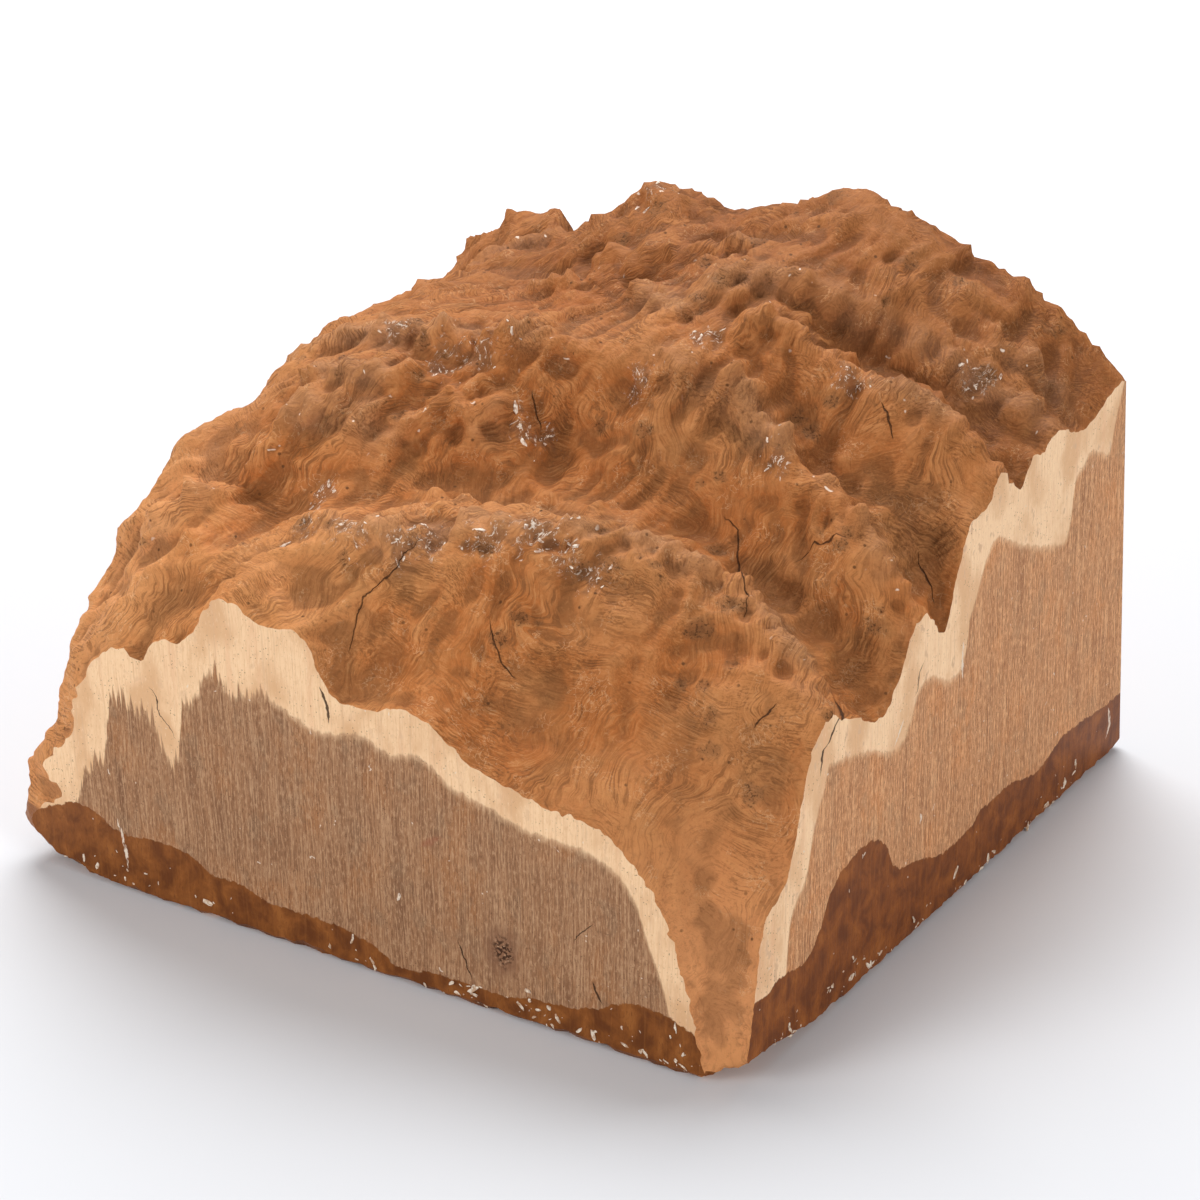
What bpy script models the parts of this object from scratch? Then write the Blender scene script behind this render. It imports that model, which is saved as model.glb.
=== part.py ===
# Burl turning blank: one piece of wood, sawn square on the front, right, back and base.
# Its top, its left flank and its front corner keep the natural skin of the burl.
#
# The skin is a sphere whose points move out along rays from a core inside the wood, until they
# meet the burl's surface. Four saw cuts then take off what lies outside the block.
# Lengths are in millimetres in the design and become metres on the mesh. In the design the corner
# where the front, right and base cuts would meet is the zero point, X runs along the front face,
# Y goes back and Z goes up. The finished object is moved so that its origin is the middle of its base.

import math
import random

import bmesh
import bpy
import numpy as np
from mathutils import Vector, kdtree, noise

MM = 0.001

# Driving dimensions
FOOT_REACH = 240.0  # further than any point of the natural foot is from the right face
DEPTH = 221.6  # front face to back face, along the floor
FLOOR = -1.6  # the base cut, a little under the front corner
BACK_LEAN = 0.066  # how far the back cut leans forward for each unit of height
SPARE = 12.0  # wood outside each saw cut, which the cut takes off

# The core that the rays start from, and the detail of the skin
CORE = (-105.0, 100.0, 8.0)
SKIN_SUBDIVISIONS = 7
SKIN_TRIANGLES = 18400
REACH = 330.0
STRIDE = 2.0  # steps along a ray until it is outside, and then halvings of the last step
HALVINGS = 14
SHOULDER_ROUNDING = 7.0

# Crown heights along the sawn edges: (x, z) on the front and back, (y, z) on the right
FRONT_EDGE = [
    (-222, 56), (-210, 66), (-204, 73), (-196, 76), (-191, 74), (-187, 82), (-179, 83), (-173, 89),
    (-168, 98), (-160, 101), (-151, 97), (-142, 98), (-134, 94), (-130, 84), (-124, 81), (-106, 84),
    (-94, 81), (-86, 75), (-78, 72), (-62, 68), (-48, 67), (-40, 64), (-32, 58), (-26, 50), (-20, 37),
    (-16, 23), (-12, 6), (-6, -14),
]
RIGHT_EDGE = [
    (3, 2), (7, 22), (9, 38), (14, 47), (23, 53), (27, 61), (31, 74), (35, 85), (42, 90), (49, 90),
    (56, 86), (64, 81), (76, 79), (84, 88), (92, 98), (100, 97), (108, 88), (112, 97), (116, 110),
    (123, 116), (133, 116), (144, 118), (151, 113), (156, 121), (163, 119), (172, 123), (182, 117),
    (195, 117), (206, 121), (218, 120),
]
BACK_EDGE = [
    (-222, 116), (-214, 121), (-208, 127), (-196, 128), (-188, 134), (-178, 116), (-172, 114),
    (-166, 132), (-161, 146), (-153, 149), (-141, 148), (-130, 146), (-121, 147), (-113, 151),
    (-97, 160), (-86, 162), (-77, 162), (-69, 160), (-53, 155), (-46, 153), (-40, 146), (-33, 147),
    (-26, 142), (-15, 136), (-7, 129), (3, 119),
]
LEFT_SHOULDER = [
    (4, 63), (9, 71), (21, 74), (33, 84), (45, 96), (57, 105), (69, 107), (80, 106), (92, 101),
    (104, 101), (116, 106), (123, 111), (141, 114), (160, 109), (173, 103), (186, 103), (199, 101),
    (206, 108),
]
LEFT_SHOULDER_X = -222

# Crest lines, each from the right face towards the left: (x, y, z)
CRESTS = {
    "corner hump": [(-2, 47, 92), (-21, 60, 99), (-39, 69, 105), (-54, 68, 110), (-70, 64, 115)],
    "near mound": [(-84, 56, 118), (-98, 48, 119), (-116, 40, 117), (-130, 33, 114), (-151, 30, 114)],
    "second ridge": [
        (-3, 95, 99), (-12, 99, 107), (-23, 100, 113), (-37, 104, 120), (-53, 109, 129),
        (-69, 115, 138), (-82, 115, 142), (-98, 111, 143),
    ],
    "left mound": [
        (-117, 111, 142), (-134, 108, 141), (-150, 105, 140), (-160, 100, 139), (-174, 104, 137),
        (-190, 104, 131), (-208, 104, 120),
    ],
    "third ridge": [
        (-4, 141, 121), (-16, 143, 128), (-34, 143, 135), (-50, 142, 140), (-68, 143, 146),
        (-84, 134, 148),
    ],
    "fourth ridge": [
        (-4, 172, 123), (-16, 169, 128), (-27, 167, 132), (-39, 166, 136), (-50, 165, 141),
        (-58, 167, 146), (-71, 162, 150), (-86, 156, 154), (-100, 150, 154),
    ],
    "pleats": [(-95, 134, 149), (-110, 140, 147), (-124, 151, 141), (-141, 159, 137), (-160, 156, 133)],
    "rear pleats": [(-106, 176, 150), (-122, 177, 145), (-140, 171, 141), (-150, 173, 137)],
    "rear knobs": [(-12, 190, 128), (-24, 186, 134)],
    "stump": [(-138, 196, 148), (-151, 202, 149)],
    "far left peaks": [(-180, 196, 130), (-196, 192, 123), (-208, 166, 116)],
    "left folds": [(-212, 34, 93), (-198, 38, 106), (-188, 58, 114)],
    "draped crest": [
        (-132, 86, 128), (-146, 78, 127), (-154, 71, 125), (-163, 71, 127), (-174, 68, 126),
        (-184, 67, 122),
    ],
    "upper drapes": [(-139, 92, 134), (-150, 86, 134), (-161, 84, 134), (-172, 82, 133), (-186, 83, 129)],
}

# Valley lines between them
VALLEYS = {
    "first groove": [
        (-4, 68, 82), (-12, 76, 90), (-25, 78, 97), (-38, 80, 103), (-50, 84, 109), (-64, 88, 114),
        (-78, 86, 117),
    ],
    "second groove": [
        (-3, 108, 94), (-9, 111, 104), (-17, 115, 112), (-27, 118, 118), (-40, 119, 123),
        (-56, 124, 131),
    ],
    "third groove": [(-4, 155, 119), (-20, 157, 126), (-38, 158, 133), (-54, 158, 138), (-68, 157, 144)],
    "apron fold": [
        (-126, 4, 82), (-108, 6, 84), (-88, 13, 84), (-69, 21, 85), (-52, 24, 83), (-32, 22, 76),
        (-20, 24, 72),
    ],
    "left crease": [(-200, 50, 101), (-181, 46, 107), (-165, 44, 110)],
    "middle hollow": [(-96, 86, 120), (-110, 86, 120), (-128, 73, 118), (-150, 60, 117)],
}

# Deep hollows with steep sides: (x, y, z), radius and depth
HOLLOWS = {
    "left pit": ((-180, 150, 124), 8.0, 5.0),
    "peak side": ((-154, 176, 137), 7.0, 4.5),
    "peak notch": ((-158, 194, 143), 6.5, 6.0),
    "left dip": ((-205, 141, 125), 13.0, 4.5),
    "under the crest": ((-121, 104, 139), 7.0, 4.0),
    "groove end": ((-63, 162, 144), 6.0, 2.5),
    "shaded fold": ((-111, 88, 120), 7.0, 3.5),
    "rear dip": ((-38, 171, 135), 6.0, 3.0),
    "rear shelf": ((-16, 195, 130), 7.5, 3.0),
    "drape dip": ((-158, 68, 122), 5.5, 3.0),
    "drape shade": ((-178, 82, 130), 5.5, 3.0),
}

# Left flank, as (height, distance from the right face): on the front face, where the foot bulges
# just behind it, and on the plain flank further back
FRONT_PROFILE = [
    (-12, 186), (-2, 190), (0, 197), (2, 208), (4, 219), (7, 227), (11, 230), (15, 229), (19, 223),
    (23, 217), (27, 223), (31, 226), (35, 221), (42, 215), (50, 213), (60, 211), (75, 216), (130, 222),
    (260, 225),
]
FOOT_PROFILE = [
    (-12, 214), (-2, 222), (2, 231), (7, 236), (13, 238), (20, 238), (27, 239), (33, 234), (40, 228),
    (50, 224), (62, 224), (75, 226), (130, 224), (260, 220),
]
FLANK_PROFILE = [
    (-12, 218), (0, 222), (14, 230), (34, 233), (60, 232), (85, 229), (105, 226), (130, 221),
    (260, 200),
]
BULGE_START = -3.0  # the foot starts to bulge just in front of the front face
BULGE_DEPTH = 6.0  # from the front face to the furthest point of the foot
FOOT_DEPTH = 34.0  # from the front face to where the foot has become the plain flank

# The underside rises a little towards the front corner
KEEL_RISE = 9.0
KEEL_CENTRE = (4.0, 4.0)
KEEL_RADII = (17.0, 44.0)
KEEL_POWER = 1.4
LEAST_LIFT = 0.01  # less than this counts as standing on the floor

# How far the crests stand out and the valleys cut in: broad lift first, then a sharp edge
PLATE_SLACK = 1.5
CREST_LIFT = 1.0
VALLEY_DROP = 0.5
CREST_EDGE = 2.4
VALLEY_EDGE = 1.0
EDGE_WIDTH = 5.5
EDGE_OFFSET = 0.3  # how much of the edge's height is taken off again all over
SAWN_FADE = 16.0
WANDER = 6.0  # sideways wander of crests and valleys, none at the sawn faces
WANDER_SIZE = 24.0
WANDER_LAYER = 4.0  # which slice of the noise the wander is read from
NOISE_SEED = 1795779354  # vector noise differs from run to run unless it is given a seed

# Growth relief
FOLD_SIZE = Vector((34.0, 15.0, 24.0))  # folds run along the front
FOLD_HEIGHT = 2.8
FOLD_OCTAVES = 3
FOLD_FALLOFF = 1.0  # how fast each finer octave of the folds weakens
FOLD_GAP = 2.1  # how much finer each octave is
FOLD_OFFSET = 0.9
FOLD_GAIN = 1.8
FAN_CENTRE = (-60.0, 320.0)  # flutes spread from here, behind the back cut, as they run downhill
FAN_RADIUS = 200.0
FLUTE_SIZE = Vector((7.5, 38.0, 28.0))  # across, outward from the fan's centre, and in height
FLUTE_HEIGHT = 0.9
FLOW_SIZE = 22.0
FLOW = 6.0  # how far the flutes are pushed off their straight way down
CALM_SHARE = 0.35  # share of the relief left on the low apron
CALM_HEIGHTS = (78.0, 104.0)
ROUGH_FLANK = (185.0, 212.0)  # further than this from the right face, the relief is full again
SAWN_SHARE = 0.3  # share of the relief left at the sawn faces, whose edges are drawn above
SAWN_REACH = 9.0
TIP_SEED = 41
TIPS_PER_CREST_MM = 0.15
TIP_SPREAD = 4.0
LOOSE_TIPS = 26
LOOSE_FROM = 55.0  # nearest that a loose tip comes to the front face
TIP_RADIUS = (2.8, 5.4)
TIP_HEIGHT = (1.2, 3.6)
TIP_POWER = 1.4
TIP_LENGTH = 1.9  # how much longer a tip is from front to back than across


def smoothstep(low, high, value):
    share = np.clip((value - low) / (high - low), 0.0, 1.0)
    return share * share * (3.0 - 2.0 * share)


def back_y(height):
    """Where the leaning back cut is at a height."""
    return DEPTH - BACK_LEAN * (height - FLOOR)


def smooth_minimum(a, b, rounding):
    share = np.clip(0.5 + 0.5 * (b - a) / rounding, 0.0, 1.0)
    return b + (a - b) * share - rounding * share * (1.0 - share)


def crown_anchors():
    """Points that the crown passes through, as rows of x, y, z."""
    anchors = [(x, 0.0, z) for x, z in FRONT_EDGE]
    anchors += [(0.0, y, z) for y, z in RIGHT_EDGE]
    anchors += [(x, back_y(z), z) for x, z in BACK_EDGE]
    anchors += [(LEFT_SHOULDER_X, y, z) for y, z in LEFT_SHOULDER]
    for line in CRESTS.values():
        anchors += [(x, y, z + CREST_LIFT) for x, y, z in line]
    for line in VALLEYS.values():
        anchors += [(x, y, z - VALLEY_DROP) for x, y, z in line]
    return np.array(anchors, dtype=float)


def nearest_line(x, y, lines):
    """Distance in plan from each point to the nearest of the lines."""
    nearest = np.full(x.shape, REACH)
    for line in lines:
        for (ax, ay, _), (bx, by, _) in zip(line, line[1:]):
            run, rise = bx - ax, by - ay
            share = ((x - ax) * run + (y - ay) * rise) / (run**2 + rise**2)
            share = np.clip(share, 0.0, 1.0)
            gap = np.hypot(x - ax - share * run, y - ay - share * rise)
            nearest = np.minimum(nearest, gap)
    return nearest


def plate_kernel(squared):
    return 0.5 * squared * np.log(np.maximum(squared, 1e-9))


def fit_crown(anchors):
    """Thin-plate weights for a smooth crown through the anchors."""
    count = len(anchors)
    gaps = anchors[:, None, :2] - anchors[None, :, :2]
    system = np.zeros((count + 3, count + 3))
    system[:count, :count] = plate_kernel((gaps**2).sum(axis=2)) + np.eye(count) * PLATE_SLACK
    system[:count, count] = 1.0
    system[:count, count + 1:] = anchors[:, :2]
    system[count:, :count] = system[:count, count:].T
    target = np.concatenate([anchors[:, 2], np.zeros(3)])
    return np.linalg.solve(system, target)


def sawn_fade(x, y):
    """None of it at the sawn faces, all of it further in."""
    near = np.minimum(np.minimum(-x, y), DEPTH - y)
    return smoothstep(0.0, SAWN_FADE, near)


def wander(x, y):
    """The places shifted sideways a little, so that no crest or valley runs straight."""
    shift = np.array([
        noise.noise_vector(Vector((a, b, WANDER_LAYER)) / WANDER_SIZE)[:2]
        for a, b in zip(x.flat, y.flat)
    ])
    shift = shift.reshape(x.shape + (2,)) * (WANDER * sawn_fade(x, y))[..., None]
    return x + shift[..., 0], y + shift[..., 1]


class Crown:
    """Height of the burl's top over the plan, looked up on a fine grid."""

    step = 1.0
    margin = 14.0
    overhang = 3.0  # past the sawn edges the crown keeps the height that it has here

    def __init__(self):
        anchors = crown_anchors()
        weights = fit_crown(anchors)
        self.low = np.array([-FOOT_REACH - self.margin, -self.margin])
        span = np.array([FOOT_REACH + 2 * self.margin, DEPTH + 2 * self.margin])
        self.counts = np.ceil(span / self.step).astype(int) + 1
        x = self.low[0] + self.step * np.arange(self.counts[0])
        y = self.low[1] + self.step * np.arange(self.counts[1])
        grid_x, grid_y = np.meshgrid(
            np.clip(x, -FOOT_REACH, self.overhang), np.clip(y, -self.overhang, DEPTH),
            indexing="ij",
        )
        grid_x, grid_y = wander(grid_x, grid_y)
        height = weights[-3] + weights[-2] * grid_x + weights[-1] * grid_y
        for (ax, ay, _), weight in zip(anchors, weights):
            height += weight * plate_kernel((grid_x - ax) ** 2 + (grid_y - ay) ** 2)
        crest = nearest_line(grid_x, grid_y, CRESTS.values())
        valley = nearest_line(grid_x, grid_y, VALLEYS.values())
        fade = sawn_fade(grid_x, grid_y)
        height += CREST_EDGE * (np.exp(-crest / EDGE_WIDTH) - EDGE_OFFSET) * fade
        height -= VALLEY_EDGE * (np.exp(-valley / EDGE_WIDTH) - EDGE_OFFSET) * fade
        self.height = height

    def __call__(self, x, y):
        place = (np.stack([x, y], axis=-1) - self.low) / self.step
        place = np.clip(place, 0.0, self.counts - 1.001)
        cell = place.astype(int)
        u, v = (place - cell).T
        i, j = cell.T
        h = self.height
        near = h[i, j] * (1 - v) + h[i, j + 1] * v
        far = h[i + 1, j] * (1 - v) + h[i + 1, j + 1] * v
        return near * (1 - u) + far * u


def flank_x(y, z):
    """X of the natural left flank at a depth and a height."""
    front = np.interp(z, *zip(*FRONT_PROFILE))
    foot = np.interp(z, *zip(*FOOT_PROFILE))
    wall = np.interp(z, *zip(*FLANK_PROFILE))
    bulge = smoothstep(BULGE_START, BULGE_DEPTH, y)
    share = smoothstep(BULGE_DEPTH, FOOT_DEPTH, y)
    return -(front * (1.0 - bulge) + foot * (bulge - share) + wall * share)


def keel_z(x, y):
    """Height of the underside, which only leaves the floor near the front corner."""
    across = (x - KEEL_CENTRE[0]) / KEEL_RADII[0]
    along = (y - KEEL_CENTRE[1]) / KEEL_RADII[1]
    return KEEL_RISE * np.clip(1.0 - np.hypot(across, along), 0.0, 1.0) ** KEEL_POWER


def inside(points, crown):
    """Positive inside the uncut burl, in millimetres, negative outside."""
    x, y, z = points.T
    depth = smooth_minimum(crown(x, y) - z, x - flank_x(y, z), SHOULDER_ROUNDING)
    lift = keel_z(x, y)
    depth = np.minimum(depth, np.where(lift > LEAST_LIFT, z - lift, z + SPARE))
    depth = np.minimum(depth, np.minimum(SPARE - x, SPARE + y))
    return np.minimum(depth, DEPTH + SPARE - y)


def grow_skin(directions, crown):
    """Distance along each ray from the core to the skin."""
    core = np.array(CORE)
    low = np.zeros(len(directions))
    high = np.full(len(directions), REACH)
    reached = np.zeros(len(directions), dtype=bool)
    for distance in np.arange(2 * STRIDE, REACH, STRIDE):
        out = inside(core + directions * distance, crown) < 0.0
        fresh = out & ~reached
        high[fresh] = distance
        low[fresh] = distance - STRIDE
        reached |= fresh
    for _ in range(HALVINGS):
        middle = 0.5 * (low + high)
        within = inside(core + directions * middle[:, None], crown) > 0.0
        low = np.where(within, middle, low)
        high = np.where(within, high, middle)
    return 0.5 * (low + high)


def fanned(point):
    """The place measured across and outward from the fan's centre, and in height."""
    side, front = point.x - FAN_CENTRE[0], FAN_CENTRE[1] - point.y
    return Vector((math.atan2(side, front) * FAN_RADIUS, math.hypot(side, front), point.z))


def relief(point):
    """Folds and flutes of the growth, in millimetres along the skin's normal."""
    folded = Vector(place / size for place, size in zip(point, FOLD_SIZE))
    fold = noise.ridged_multi_fractal(
        folded, FOLD_FALLOFF, FOLD_GAP, FOLD_OCTAVES, FOLD_OFFSET, FOLD_GAIN
    )
    flowing = fanned(point + noise.noise_vector(point / FLOW_SIZE) * FLOW)
    across = Vector(place / size for place, size in zip(flowing, FLUTE_SIZE))
    return FOLD_HEIGHT * (fold - 1.0) + FLUTE_HEIGHT * (1.0 - 4.0 * abs(noise.noise(across)))


def calmness(places):
    """Share of the relief at each place: little on the low apron and at the sawn faces."""
    inset = np.minimum(np.minimum(-places[:, 0], places[:, 1]), DEPTH - places[:, 1])
    sawn = SAWN_SHARE + (1.0 - SAWN_SHARE) * smoothstep(0.0, SAWN_REACH, inset)
    high = smoothstep(*CALM_HEIGHTS, places[:, 2])
    high = np.maximum(high, smoothstep(*ROUGH_FLANK, -places[:, 0]))
    return sawn * (CALM_SHARE + (1.0 - CALM_SHARE) * high)


def tip_centres(crown):
    """Where the pointed tips of the burl stand: thick along the crests, sparse elsewhere."""
    draw = random.Random(TIP_SEED)
    places = []
    for line in CRESTS.values():
        for start, end in zip(line, line[1:]):
            length = math.dist(start[:2], end[:2])
            for _ in range(max(1, round(length * TIPS_PER_CREST_MM))):
                share = draw.random()
                x = start[0] + share * (end[0] - start[0]) + draw.gauss(0.0, TIP_SPREAD)
                y = start[1] + share * (end[1] - start[1]) + draw.gauss(0.0, TIP_SPREAD)
                places.append((x, y))
    for _ in range(LOOSE_TIPS):
        places.append((draw.uniform(-FOOT_REACH, 0.0), draw.uniform(LOOSE_FROM, DEPTH)))
    tips = []
    for x, y in places:
        z = float(crown(np.array([x]), np.array([y]))[0])
        tips.append((Vector((x, y, z)), draw.uniform(*TIP_RADIUS), draw.uniform(*TIP_HEIGHT)))
    return tips


def raise_relief(mesh_data, crown):
    """Moves the skin along its normals by the growth relief, and out again at the tips."""
    vertices = list(mesh_data.verts)
    shares = calmness(np.array([vertex.co for vertex in vertices]))
    tree = kdtree.KDTree(len(vertices))
    rise = []
    for number, vertex in enumerate(vertices):
        tree.insert(vertex.co, number)
        rise.append(relief(vertex.co) * float(shares[number]))
    tree.balance()
    for centre, radius, height in tip_centres(crown):
        for place, number, _ in tree.find_range(centre, radius * TIP_LENGTH):
            off = place - centre
            gap = math.hypot(off.x, off.y / TIP_LENGTH, off.z / TIP_LENGTH)
            rise[number] += height * max(0.0, 1.0 - gap / radius) ** TIP_POWER
    for centre, radius, depth in HOLLOWS.values():
        for _, number, gap in tree.find_range(Vector(centre), radius):
            rise[number] -= depth * (1.0 - (gap / radius) ** 2) ** 2
    normals = [vertex.normal.copy() for vertex in vertices]
    for vertex, normal, amount in zip(vertices, normals, rise):
        vertex.co += normal * amount


def natural_burl(collection, wood):
    """The burl before it is sawn, as a closed skin."""
    crown = Crown()
    skin = bmesh.new()
    bmesh.ops.create_icosphere(skin, subdivisions=SKIN_SUBDIVISIONS, radius=1.0)
    directions = np.array([vertex.co.normalized() for vertex in skin.verts])
    distances = grow_skin(directions, crown)
    core = Vector(CORE)
    for vertex, direction, distance in zip(skin.verts, directions, distances):
        vertex.co = core + Vector(direction) * distance
    skin.normal_update()
    raise_relief(skin, crown)
    for vertex in skin.verts:
        vertex.co *= MM
    mesh = bpy.data.meshes.new("burl_blank")
    skin.to_mesh(mesh)
    skin.free()
    mesh.materials.append(wood)
    blank = bpy.data.objects.new("burl_blank", mesh)
    collection.objects.link(blank)
    thin = blank.modifiers.new("fewer faces", "DECIMATE")
    thin.ratio = SKIN_TRIANGLES / len(mesh.polygons)
    return blank


def saw_block(blank, cutters):
    """Keeps what lies inside the four saw cuts: front, right, base and the leaning back."""
    top = 2 * DEPTH
    left = -2 * FOOT_REACH
    block = bmesh.new()
    bmesh.ops.create_cube(block, size=1.0)
    for vertex in block.verts:
        x, y, z = vertex.co
        height = top if z > 0 else FLOOR
        vertex.co = Vector((0.0 if x > 0 else left, back_y(height) if y > 0 else 0.0, height)) * MM
    mesh = bpy.data.meshes.new("saw block")
    block.to_mesh(mesh)
    block.free()
    saw = bpy.data.objects.new("saw block", mesh)
    cutters.objects.link(saw)
    saw.hide_render = True
    saw.display_type = "WIRE"
    cut = blank.modifiers.new("saw cuts", "BOOLEAN")
    cut.operation = "INTERSECT"
    cut.solver = "EXACT"
    cut.object = saw


def wood_material():
    wood = bpy.data.materials.new("burl wood")
    wood.use_nodes = True
    shader = wood.node_tree.nodes["Principled BSDF"]
    shader.inputs["Base Color"].default_value = (0.40, 0.17, 0.07, 1.0)
    shader.inputs["Roughness"].default_value = 0.62
    shader.inputs["Metallic"].default_value = 0.0
    return wood


def main():
    noise.seed_set(NOISE_SEED)
    for thing in list(bpy.data.objects):
        bpy.data.objects.remove(thing)
    parts = bpy.data.collections.new("burl turning blank")
    cutters = bpy.data.collections.new("saw cuts")
    bpy.context.scene.collection.children.link(parts)
    bpy.context.scene.collection.children.link(cutters)

    blank = natural_burl(parts, wood_material())
    saw_block(blank, cutters)
    bpy.context.view_layer.update()
    finished = blank.evaluated_get(bpy.context.evaluated_depsgraph_get())
    reach = min(corner[0] for corner in finished.bound_box)
    move = Vector((-reach / 2, -DEPTH / 2 * MM, -FLOOR * MM))
    for thing in list(parts.objects) + list(cutters.objects):
        thing.location += move


main()
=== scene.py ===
import math
import random

import bmesh
import bpy
import numpy as np
from mathutils import Matrix, Vector, bvhtree, kdtree, noise


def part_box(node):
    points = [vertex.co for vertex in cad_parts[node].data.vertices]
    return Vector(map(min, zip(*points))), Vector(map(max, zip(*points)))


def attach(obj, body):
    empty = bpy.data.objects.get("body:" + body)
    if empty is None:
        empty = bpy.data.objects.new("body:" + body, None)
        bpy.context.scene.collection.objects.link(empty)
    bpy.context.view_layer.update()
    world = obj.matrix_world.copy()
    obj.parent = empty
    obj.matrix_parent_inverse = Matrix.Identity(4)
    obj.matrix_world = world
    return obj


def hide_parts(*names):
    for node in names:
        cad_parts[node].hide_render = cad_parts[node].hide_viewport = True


# A burl turning blank: one block of wood, sawn on the front, right, back and base.
# Sizes below are millimetres. Zero is the corner where the front, right and base cuts would
# meet: x runs along the front and is negative, y goes back and z goes up.

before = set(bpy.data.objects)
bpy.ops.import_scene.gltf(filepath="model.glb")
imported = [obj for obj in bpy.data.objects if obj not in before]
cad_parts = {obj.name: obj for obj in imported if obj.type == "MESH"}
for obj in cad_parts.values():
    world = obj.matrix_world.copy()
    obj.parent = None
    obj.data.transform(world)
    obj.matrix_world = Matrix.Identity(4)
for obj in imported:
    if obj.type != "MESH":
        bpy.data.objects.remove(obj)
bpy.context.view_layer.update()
print("stage: frame loaded")

mm = 0.001
blankLow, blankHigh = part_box("burl_blank")

block = {
    "floor": -1.6,  # the base cut, a little under the front corner
    "footReach": 240.0,  # further than any point of the foot is from the right face
    "backLean": 0.066,  # how far the back cut leans forward for each unit of height
    "spare": 12.0,  # wood outside each cut before it is sawn
    "core": (-105.0, 100.0, 8.0),
    "reach": 330.0,
    "rayStart": 4.0,  # the skin is looked for from here outwards, in steps of rayStep
    "rayStep": 2.0,
    "halvings": 14,
    "rim": 3.0,  # the crown is level beyond this far outside the cuts
    "detail": 8,
    "shoulderRounding": 7.0,
    "wear": 1.3,  # how far the lower edges are worn back
    "wearSteps": 150,
    "wearTop": 3.0,  # above this the cuts are left flat
}
farAway = 99.0  # stands for nothing near
depth = (blankHigh.y - blankLow.y) / mm
corner = Vector((blankHigh.x, blankLow.y, blankLow.z - block["floor"] * mm))

# Heights of the crown along the cuts: (x, z) on the front and back, (y, z) on the right
edges = {
    "front": [
        (-222, 56), (-210, 66), (-204, 73), (-196, 76), (-191, 74), (-187, 82), (-179, 83),
        (-173, 89), (-168, 98), (-160, 101), (-151, 97), (-142, 98), (-134, 94), (-130, 84),
        (-124, 81), (-106, 84), (-94, 81), (-86, 75), (-78, 72), (-62, 68), (-48, 67), (-40, 64),
        (-32, 58), (-26, 50), (-20, 37), (-16, 23), (-12, 6), (-6, -14),
    ],
    "right": [
        (3, 2), (7, 22), (9, 38), (14, 47), (23, 53), (27, 61), (31, 74), (35, 85), (42, 90),
        (49, 90), (56, 86), (64, 81), (76, 79), (84, 88), (92, 98), (100, 97), (108, 88),
        (112, 97), (116, 110), (123, 116), (133, 116), (144, 118), (151, 113), (156, 121),
        (163, 119), (172, 123), (182, 117), (195, 117), (206, 121), (218, 120),
    ],
    "back": [
        (-222, 116), (-214, 121), (-208, 127), (-196, 128), (-188, 134), (-178, 116), (-172, 114),
        (-166, 132), (-161, 146), (-153, 149), (-141, 148), (-130, 146), (-121, 147), (-113, 151),
        (-97, 160), (-86, 162), (-77, 162), (-69, 160), (-53, 155), (-46, 153), (-40, 146),
        (-33, 147), (-26, 142), (-15, 136), (-7, 129), (3, 119),
    ],
    "leftShoulder": [
        (4, 63), (9, 71), (21, 74), (33, 84), (45, 96), (57, 105), (69, 107), (80, 106),
        (92, 101), (104, 101), (116, 106), (123, 111), (141, 114), (160, 109), (173, 103),
        (186, 103), (199, 101), (206, 108),
    ],
    "leftShoulderX": -222,
}

# Crests and valleys on top, as (x, y, z)
crests = {
    "corner hump": [(-2, 47, 92), (-21, 60, 99), (-39, 69, 105), (-54, 68, 110), (-70, 64, 115)],
    "near mound": [
        (-84, 56, 118), (-98, 48, 119), (-116, 40, 117), (-130, 33, 114), (-151, 30, 114),
    ],
    "second ridge": [
        (-3, 95, 99), (-12, 99, 107), (-23, 100, 113), (-37, 104, 120), (-53, 109, 129),
        (-69, 115, 138), (-82, 115, 142), (-98, 111, 143),
    ],
    "left mound": [
        (-117, 111, 142), (-134, 108, 141), (-150, 105, 140), (-160, 100, 139), (-174, 104, 137),
        (-190, 104, 131), (-208, 104, 120),
    ],
    "third ridge": [
        (-4, 141, 121), (-16, 143, 128), (-34, 143, 135), (-50, 142, 140), (-68, 143, 146),
        (-84, 134, 148),
    ],
    "fourth ridge": [
        (-4, 172, 123), (-16, 169, 128), (-27, 167, 132), (-39, 166, 136), (-50, 165, 141),
        (-58, 167, 146), (-71, 162, 150), (-86, 156, 154), (-100, 150, 154),
    ],
    "pleats": [
        (-95, 134, 149), (-110, 140, 147), (-124, 151, 141), (-141, 159, 137), (-160, 156, 133),
    ],
    "rear pleats": [(-106, 176, 150), (-122, 177, 145), (-140, 171, 141), (-150, 173, 137)],
    "rear knobs": [(-12, 190, 128), (-24, 186, 134)],
    "stump": [(-138, 196, 148), (-151, 202, 149)],
    "far left peaks": [(-180, 196, 130), (-196, 192, 123), (-208, 166, 116)],
    "left folds": [(-212, 34, 93), (-198, 38, 106), (-188, 58, 114)],
    "draped crest": [
        (-132, 86, 128), (-146, 78, 127), (-154, 71, 125), (-163, 71, 127), (-174, 68, 126),
        (-184, 67, 122),
    ],
    "upper drapes": [
        (-139, 92, 134), (-150, 86, 134), (-161, 84, 134), (-172, 82, 133), (-186, 83, 129),
    ],
}
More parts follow.
